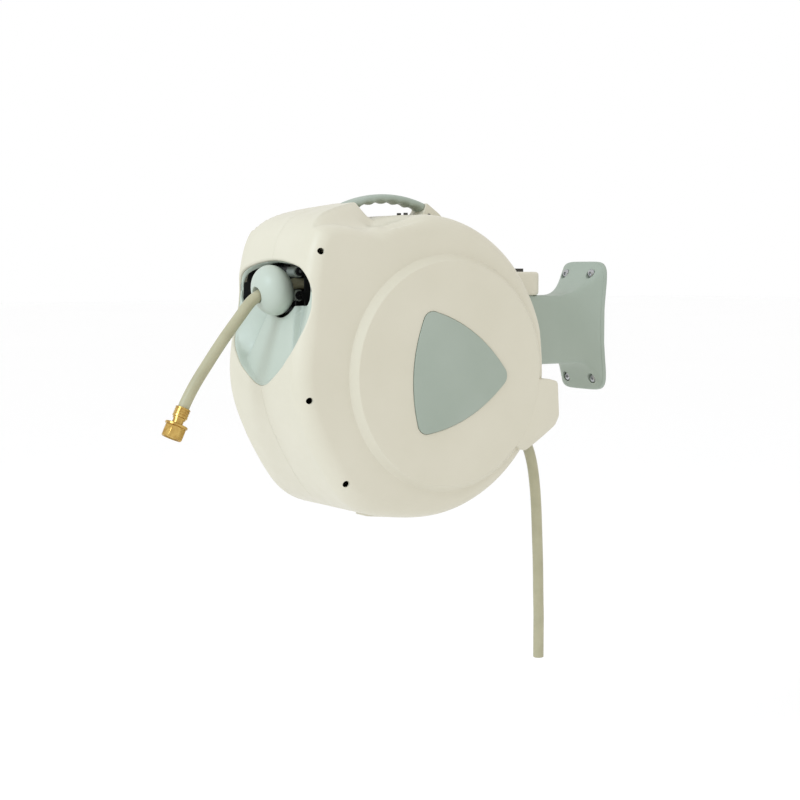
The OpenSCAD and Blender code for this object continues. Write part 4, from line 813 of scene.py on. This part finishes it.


# Mouth insert: a dished plug with a raised tongue and the hose slot, and near-black sheets of painted shade
# at the slot's ends

SLOT_LOW, SLOT_HALF_W, SLOT_FLOOR, SLOT_CORNER = 97.1, 93.5, 211.0, 7.0
TONGUE_RISE, TONGUE_FALL, TONGUE_TOP_W, TONGUE_GAIN_W, TONGUE_RUN = 13.0, 105.0, 32.0, 28.0, 75.0
TONGUE_STEP, INSERT_T, RIM_GAP, RIM_W, RINGS = 3.2, 3.0, 0.3, 5.0, 64
# The last two values and the outline below place thin near-black sheets at the slot's ends: painted shade of
# the casing's inside.
SLOT_RIM, SHADE_SHEET_IN, SHADE_SHEET_OUT = 2.6, 94.4, 96.0
SHADE_SHEET = [(186, 100), (224, 100), (224, 154), (186, 154)]
BALL_F, BALL_Z, BALL_R, BALL_HALF, BALL_TILT = 228.0, 118.6, 35.5, 27.0, 14.0
BALL_BORE_R, BALL_MOUTH_R, BALL_GAP = 8.3, 12.6, 3.0
TIP_F = front_skin(0.0, -MOUTH_DROP)
RIGHT_EDGE = np.array(right_half[:right_half.index(max(right_half)) + 1])


def tongue_f(z):
    """Forward distance of the tongue's face, from the slot down to the mouth's tip."""
    t = np.clip((SLOT_LOW - z) / (SLOT_LOW + MOUTH_DROP), 0.0, 1.0)
    return SLOT_FLOOR + (TIP_F - 2.5 - SLOT_FLOOR) * t


def insert_f(x, z, inset):
    """Forward distance of the insert's face at a place, this far inside its rim."""
    skin = front_skin(x, z)
    lip = float(lip_r(z)) + RIM_GAP
    low = float(np.clip((SLOT_LOW - z) / TONGUE_RUN, 0.0, 1.0))
    half_w = TONGUE_TOP_W + TONGUE_GAIN_W * low
    rise = TONGUE_RISE * (1.0 - float(np.clip((SLOT_LOW - z) / TONGUE_FALL, 0.0, 1.0)) ** 1.5)
    tongue = float(tongue_f(z))
    cheek_w = max(float(np.interp(z, RIGHT_EDGE[:, 1], RIGHT_EDGE[:, 0])) - half_w, 4.0)
    up = float(np.clip((abs(x) - half_w) / cheek_w, 0.0, 1.0))
    cheek = tongue - rise + (skin - lip - tongue + rise) * up ** 1.2
    floor = tongue + (cheek - tongue) * float(smooth((abs(x) - half_w) / TONGUE_STEP))
    floor = min(floor, skin - lip - 0.4)
    return (skin - lip) + (floor - (skin - lip)) * float(smooth(inset / RIM_W))


share = 1.0 - np.linspace(0.0, 1.0, RINGS) ** 1.25 * 0.985
rim = MOUTH - MOUTH_NORMAL * 0.25
front_rows = []
for s in share:
    ring = MOUTH_MID + s * (rim - MOUTH_MID)
    inset = np.linalg.norm(rim - ring, axis=1)
    front_rows.append([(x, insert_f(x, z, d), z) for (x, z), d in zip(ring, inset)])
front_rows = np.asarray(front_rows)
back_rows = front_rows - np.array([0.0, INSERT_T, 0.0])
rows = np.concatenate([front_rows[::-1], back_rows])
insert = loft("mouth_insert_dish", world(rows))
insert_skin = skin_of(insert)

above = MOUTH[:, 1] > SLOT_LOW
upper = MOUTH[above] - MOUTH_NORMAL[above] * SLOT_RIM
upper[:, 0] = np.clip(upper[:, 0], -SLOT_HALF_W, SLOT_HALF_W)
upper = anticlockwise(upper)
upper = upper[upper[:, 1] > SLOT_LOW + SLOT_CORNER + 2.0]
lower = [(-SLOT_HALF_W + 1.5, SLOT_LOW + SLOT_CORNER), (-SLOT_HALF_W + SLOT_CORNER, SLOT_LOW),
         (SLOT_HALF_W - SLOT_CORNER, SLOT_LOW), (SLOT_HALF_W - 1.5, SLOT_LOW + SLOT_CORNER)]
slot = dense(rounded(np.vstack([upper, lower]), 2), 4.0)
t = turns(64)
ball_room = BALL_R + BALL_GAP
circle = np.column_stack([ball_room * np.cos(t), BALL_Z + ball_room * np.sin(t)])
cut(insert, [prism("slot_cut", slot, CUT_BACK, SLOT_CUT_FRONT),
             prism("ball_cut", circle, CUT_BACK, SLOT_CUT_FRONT)])
keep_shading(insert, insert_skin, turn=0.25)
dress(insert, "reel", "pale_sage_plastic", "mouth_insert")
# Near-black sheets at both ends of the slot: painted shade where the casing's inside shows through the slot.
for side, label in HANDS:
    shade_sheet = side_slab(label + "_slot_shade_sheet", SHADE_SHEET, *span(side, SHADE_SHEET_IN, SHADE_SHEET_OUT), 0.4)
    dress(shade_sheet, "reel", "inner_plastic")


# Stopper ball, in two halves

ball_dir = np.array([0.0, cosd(BALL_TILT), -sind(BALL_TILT)])
ball_up = np.array([0.0, sind(BALL_TILT), cosd(BALL_TILT)])
profile = []
for t in np.linspace(-math.acos(BALL_BORE_R / BALL_R), math.acos(BALL_MOUTH_R / BALL_R), 48):
    profile.append((BALL_HALF * math.sin(t), BALL_R * math.cos(t)))
mouth_s = profile[-1][0]
profile += [(mouth_s + 0.25, 12.0), (mouth_s + 0.1, 11.5), (mouth_s - 0.6, 11.1),
            (mouth_s - 18.5, BALL_BORE_R)]
for side, label in HANDS:
    turn = np.linspace(-math.pi / 2, math.pi / 2, 65)
    rings = []
    for s, r in profile:
        x = side * np.maximum(0.03, r * np.cos(turn))
        rings.append(np.column_stack([x, BALL_F + s * ball_dir[1] + r * np.sin(turn) * ball_up[1],
                                      BALL_Z + s * ball_dir[2] + r * np.sin(turn) * ball_up[2]]))
    rings = np.asarray(rings)
    rows, cols = rings.shape[:2]
    faces = grid_faces(rows, cols, 0, False)
    for i in range(cols - 1):
        faces.append((i, i + 1, (rows - 1) * cols + i + 1, (rows - 1) * cols + i))
    faces += [[j * cols + i for j in range(rows)] for i in (0, cols - 1)]
    ball = mesh_piece(label + "_stopper_half", world(rings.reshape(-1, 3)), faces)
    sharpen(ball, 50)
    dress(ball, "reel", "pale_sage_plastic", label + "_stopper")


# Tail of the right shell, where the leader hose leaves

TAIL_IN, TAIL_OUT, TAIL_EDGE = 60.0, 113.7, 3.5
TAIL = [(-120, -13.5), (-178, -13.5), (-197, -18.2), (-200, -69.9), (-192, -84.2), (-162, -103.2),
        (-134, -119), (-104, -103.2)]
tail = side_slab("right_shell_tail", rounded(dense(TAIL, 14.0), 3), TAIL_IN, TAIL_OUT, TAIL_EDGE)
dress(tail, "reel", "cream_plastic")


# Badges

for side, label in HANDS:
    badge = side_slab(label + "_badge_plate", badge_outline(0.0), *span(side, BADGE_BACK, BADGE_FACE), 0.9)
    dress(badge, "reel", "sage_plastic", label + "_badge")


# Wall bracket

PLATE_W, PLATE_H, PLATE_T, WAIST = 118.0, 203.0, 6.0, 14.0
PLATE_ROUND, FLARE, LOW_FLARE, FLARE_POWER = 4.0, 72.0, 34.0, 2.5
NECK_W, NECK_RISE, NECK_SINK, HINGE_OUT = 52.0, 49.0, 58.0, 139.0
PLATE_POWER, NECK_POWER, SIDES, FLARE_RINGS = 5.5, 12.0, 144, 32
PIN_BORE_R, BOLT_X, BOLT_Z, BOLT_POCKET_R, BOLT_HOLE_R = 6.3, 30.0, 82.5, 7.9, 3.5
BOLT_SEAT = {1: 12.0, -1: 5.0}


def power(c, n):
    """A sine or cosine on a superellipse of this power."""
    return np.sign(c) * np.abs(c) ** (2.0 / n)


def flare(out, reach):
    """Share of the flare that is left at a distance from the wall."""
    return float(np.clip(1.0 - (out - PLATE_T) / reach, 0.0, 1.0)) ** FLARE_POWER


def bracket_ring(out, inset):
    """The bracket's section at a distance from the wall, this far inside its outline."""
    sides, low = flare(out, FLARE), flare(out, LOW_FLARE)
    half_w = NECK_W / 2 + sides * (PLATE_W - NECK_W) / 2 - inset
    high_z = NECK_RISE + sides * (PLATE_H / 2 - NECK_RISE) - inset
    low_z = -NECK_SINK - low * (PLATE_H / 2 - NECK_SINK) + inset
    n = NECK_POWER + sides * (PLATE_POWER - NECK_POWER)
    t = 2 * math.pi * (np.arange(SIDES) + 0.5) / SIDES
    z = power(np.sin(t), n)
    x = power(np.cos(t), n) * (half_w - sides * WAIST * (1 - z * z))
    return np.column_stack([x, np.full(SIDES, -out), (high_z + low_z) / 2 + z * (high_z - low_z) / 2]) * MM


rings = [bracket_ring(0.0, 1.5), bracket_ring(0.0, 0.0), bracket_ring(PLATE_T - PLATE_ROUND, 0.0)]
for t in np.linspace(0.0, math.pi / 2, 7)[1:]:
    out = PLATE_T - PLATE_ROUND + PLATE_ROUND * math.sin(t)
    rings.append(bracket_ring(out, PLATE_ROUND / 2 * (1 - math.cos(t))))
for i in range(1, FLARE_RINGS + 1):
    out = PLATE_T + FLARE * (1 - math.cos(math.pi / 2 * i / FLARE_RINGS))
    rings.append(bracket_ring(out, PLATE_ROUND / 2 * (1 - i / FLARE_RINGS) ** 2))
rings.append(bracket_ring(HINGE_OUT, 0.0))
bracket = loft("wall_bracket_saddle", rings)


def upright(name, z0, z1, radius, edge, sides=96):
    """A round post with rounded edges about the hinge's axis."""
    t = turns(sides)
    circle = np.column_stack([radius * np.cos(t), -HINGE_OUT + radius * np.sin(t)])
    rings = [np.column_stack([o, np.full(sides, z)]) * MM for o, z in slab_rings(circle, z0, z1, edge)]
    return loft(name, rings, angle=40)


cut(bracket, [upright("barrel", -NECK_SINK, NECK_RISE, NECK_W / 2, 1.5)], "UNION")
bracket_skin = skin_of(bracket)
cut(bracket, [upright("pin_bore", -NECK_SINK - 4.0, NECK_RISE + 4.0, PIN_BORE_R, 0.2)])
BOLTS = [(x * BOLT_X, z * BOLT_Z) for x in (-1, 1) for z in (-1, 1)]


def facing(name, at, rows, corners=0):
    """A turned piece that faces out from the wall."""
    across_x, ahead, up = np.eye(3)
    return turned(name, rows, corners, np.array([at[0], AXIS_Y, at[1] - AXIS_Z]), ahead, across_x, up)


t = turns(48)
for r, deep in ((BOLT_POCKET_R, False), (BOLT_HOLE_R, True)):
    pockets = []
    for x, z in BOLTS:
        ring = np.column_stack([x + r * np.cos(t), np.zeros(len(t)), z + r * np.sin(t)])
        ends = (1.0, -20.0) if deep else (-BOLT_SEAT[int(np.sign(z))], -160.0)
        pockets.append(loft("pocket", [(ring + [0.0, y, 0.0]) * MM for y in ends]))
    cut(bracket, pockets)
keep_shading(bracket, bracket_skin, turn=0.7)
dress(bracket, "bracket", "sage_plastic", "wall_bracket")

for k, (x, z) in enumerate(BOLTS):
    seat = BOLT_SEAT[int(np.sign(z))] + 0.2
    head = [(0.0, 0.4), (0.0, 3.2), (seat, 3.3), (seat, 6.6), (seat + 3.2, 6.6), (seat + 4.4, 5.8),
            (seat + 4.9, 4.4), (seat + 5.0, 3.2), (seat + 5.0, 3.0, 3.0), (seat + 3.0, 2.9, 2.9),
            (seat + 2.8, 0.4)]
    dress(facing("wall_bolt_%d" % k, (x, z), head, 6), "bracket", "steel")


# Hinge ears of the casing

EAR_R, EAR_H, EAR_EDGE, EAR_BORE_R, UPPER_EAR, LOWER_EAR = 32.0, 36.0, 5.0, 6.8, 49.3, -94.3
UPPER_EAR_END, LOWER_EAR_END = -220.0, -198.0


def bored_slab(name, outline, low, high, edge, centre, radius):
    """A slab along z with rounded edges and an upright bore about a centre inside its outline."""
    rings = [np.column_stack([o, np.full(len(o), h)]) for o, h in slab_rings(outline, low, high, edge, 7)]
    spoke = rings[0][:, :2] - centre
    bore = centre + radius * spoke / np.linalg.norm(spoke, axis=1, keepdims=True)
    rings += [np.column_stack([bore, np.full(len(bore), h)]) for h in (high, low)]
    obj = mesh_piece(name, np.vstack(rings) * MM, tube_faces(len(rings), len(bore)))
    sharpen(obj, 60)
    return obj


t = np.linspace(0.0, math.pi, 49)
ear_end = np.column_stack([EAR_R * np.cos(t), -HINGE_OUT + EAR_R * np.sin(t)])
pin_at = np.array([0.0, -HINGE_OUT])
for z, back, label in ((UPPER_EAR, UPPER_EAR_END, "upper"), (LOWER_EAR, LOWER_EAR_END, "lower")):
    left = np.column_stack([np.full(6, -EAR_R), np.linspace(-HINGE_OUT - 9.0, back, 6)])
    plan = np.vstack([ear_end, left, left[::-1] * [-1.0, 1.0]])
    ear = bored_slab(label + "_hinge_ear", plan, z, z + EAR_H, EAR_EDGE, pin_at, EAR_BORE_R)
    if label == "upper":
        dress(ear, "reel", "cream_plastic", "hinge_yoke")
    else:
        dress(ear, "reel", "cream_plastic")


# Handle: grip and post

GRIP_F, GRIP_Z, GRIP_R, GRIP_T, GRIP_W = 40.0, 69.0, 187.0, 14.0, 30.0
GRIP_START, GRIP_END, GRIP_POWER, GRIP_SIDES = 66.9, 110.0, 2.5, 64
WAVE_START, WAVE_DEPTH, WAVES = 66.5, 2.5, 6
POST_HALF_W, POST_EDGE, POST_FRONT, POST_REAR = 16.8, 1.2, -6.0, -88.0
GRIP_A = np.linspace(GRIP_START, GRIP_END, 150)


def grip_point(r, a):
    """A place on the grip's arc as [forward, up]."""
    return GRIP_F + r * cosd(a), GRIP_Z + r * sind(a)


def grip_ring(a, width, out, low):
    """The grip's section at an angle, between two radii of its arc."""
    t = turns(GRIP_SIDES)
    x = width / 2 * power(np.cos(t), GRIP_POWER)
    r = (out + low) / 2 + (out - low) / 2 * power(np.sin(t), GRIP_POWER)
    return world(np.column_stack([x, *grip_point(r, a)]))


rings = []
for a in GRIP_A:
    wave = WAVE_DEPTH * abs(math.sin(math.pi * WAVES * (a - WAVE_START) / (GRIP_END - WAVE_START))) ** 0.8
    ends = min(1.0, (a - GRIP_A[0]) / 0.5 + 0.8, (GRIP_A[-1] - a) / 0.5 + 0.8)
    rings.append(grip_ring(a, GRIP_W * ends, GRIP_R, GRIP_R - GRIP_T + wave))
dress(loft("handle_grip_arch", rings), "reel", "sage_plastic", "handle_grip")


def band_top(f):
    """Height of the round band's top at a place forward."""
    return CASING_Z + math.sqrt(CASING_R ** 2 - (f - CASING_F) ** 2)


front = [grip_point(GRIP_R, GRIP_END), grip_point(GRIP_R - GRIP_T, GRIP_END)]
foot = [(f, band_top(f) - 2.0) for f in np.linspace(POST_FRONT, POST_REAR, 20)]
back = [(-80.0, 199.0), (-64.0, 214.5), (-46.0, 230.0)]
outline = rounded(dense(np.vstack([front, foot, back]), 5.0), 2)
post = side_slab("handle_post_block", outline, -POST_HALF_W, POST_HALF_W, POST_EDGE)
dress(post, "reel", "cream_plastic", "handle_post")


# Foot under the band, with a notch in its near side

FOOT_F, FOOT_W, FOOT_L, FOOT_OUT, FOOT_IN = 57.0, 30.0, 48.0, 8.5, 1.0
FOOT_TURN = math.asin((FOOT_F - CASING_F) / CASING_R)
NOTCH = ((-2.0, 1.6), (10.0, 1.6), (10.0, 4.4), (-2.0, 4.4))
NOTCH_DEPTH = 6.0


def under_band(along, out):
    """A place under the foot as [forward, up]: this far forward along the band and out from it."""
    r = CASING_R + out
    return (CASING_F + r * math.sin(FOOT_TURN) + along * math.cos(FOOT_TURN),
            CASING_Z - r * math.cos(FOOT_TURN) + along * math.sin(FOOT_TURN))


bm = bmesh.new()
bmesh.ops.create_cube(bm, size=1.0)
for v in bm.verts:
    out = v.co.z * (FOOT_OUT + FOOT_IN) + (FOOT_OUT - FOOT_IN) / 2
    v.co = Vector((v.co.x * FOOT_W, v.co.y * FOOT_L, out))
bmesh.ops.bevel(bm, geom=bm.edges[:] + bm.verts[:], offset=2.2, segments=5, profile=0.5, affect="EDGES")
for v in bm.verts:
    x, along, out = v.co
    v.co = Vector(world([x, *under_band(along, out)]))
bmesh.ops.recalc_face_normals(bm, faces=bm.faces)
foot_mesh = bpy.data.meshes.new("foot_ledge")
bm.to_mesh(foot_mesh)
bm.free()
foot_piece = bpy.data.objects.new("foot_ledge", foot_mesh)
bpy.context.scene.collection.objects.link(foot_piece)
notch = rounded(dense([under_band(along, out) for along, out in NOTCH], 2.0), 2)
cut(foot_piece, [side_slab("foot_notch", notch, FOOT_W / 2 - NOTCH_DEPTH, FOOT_W, 0.4)])
for face in foot_piece.data.polygons:
    face.use_smooth = True
sharpen(foot_piece, 50)
dress(foot_piece, "reel", "cream_plastic", "foot")


# Materials of the solids that stay

for name, node in NODES.items():
    node.data.materials.clear()
    node.data.materials.append(FINISH[SLOT_OF[name]])
    for face in node.data.polygons:
        face.use_smooth = True
    sharpen(node, 32)


# Floor and light

FLOOR_HALF, FLOOR_Z = 40, -0.75
floor_corners = [(x * FLOOR_HALF, y * FLOOR_HALF, FLOOR_Z) for x, y in ((-1, -1), (1, -1), (1, 1), (-1, 1))]
floor_mesh = bpy.data.meshes.new("floor")
floor_mesh.from_pydata(floor_corners, [], [(0, 1, 2, 3)])
floor = bpy.data.objects.new("floor", floor_mesh)
bpy.context.scene.collection.objects.link(floor)
floor_mat, floor_tree, floor_bsdf = shader("floor")
floor_bsdf.inputs["Roughness"].default_value = 0.9
cloud = noise(floor_tree, 0.6, 2.0)
pale = two_colours(floor_tree, cloud, (0.985, 0.985, 0.985, 1.0), (0.995, 0.995, 0.995, 1.0))
floor_tree.links.new(pale, floor_bsdf.inputs["Base Color"])
floor_mesh.materials.append(floor_mat)

scene_world = bpy.data.worlds.new("studio")
scene_world.use_nodes = True
background = scene_world.node_tree.nodes["Background"]
background.inputs["Color"].default_value = (1.0, 1.0, 1.0, 1.0)
background.inputs["Strength"].default_value = 1.0
bpy.context.scene.world = scene_world
bpy.context.scene.view_settings.view_transform = "Standard"


def lamp(name, place, target, size, power_w, colour):
    """A round area light at a place, turned to a target."""
    data = bpy.data.lights.new(name, "AREA")
    data.shape = "DISK"
    data.size = size
    data.energy = power_w
    data.color = colour
    obj = bpy.data.objects.new(name, data)
    bpy.context.scene.collection.objects.link(obj)
    obj.location = place
    obj.rotation_euler = (Vector(target) - Vector(place)).to_track_quat("-Z", "Y").to_euler()


CENTRE = (0.0, -0.36, -0.06)
lamp("key", (0.35, -2.95, 1.35), CENTRE, 1.2, 30.0, (0.72, 0.86, 1.0))
lamp("fill", (2.6, -0.8, 0.9), CENTRE, 2.0, 0.8, (1.0, 0.95, 0.86))
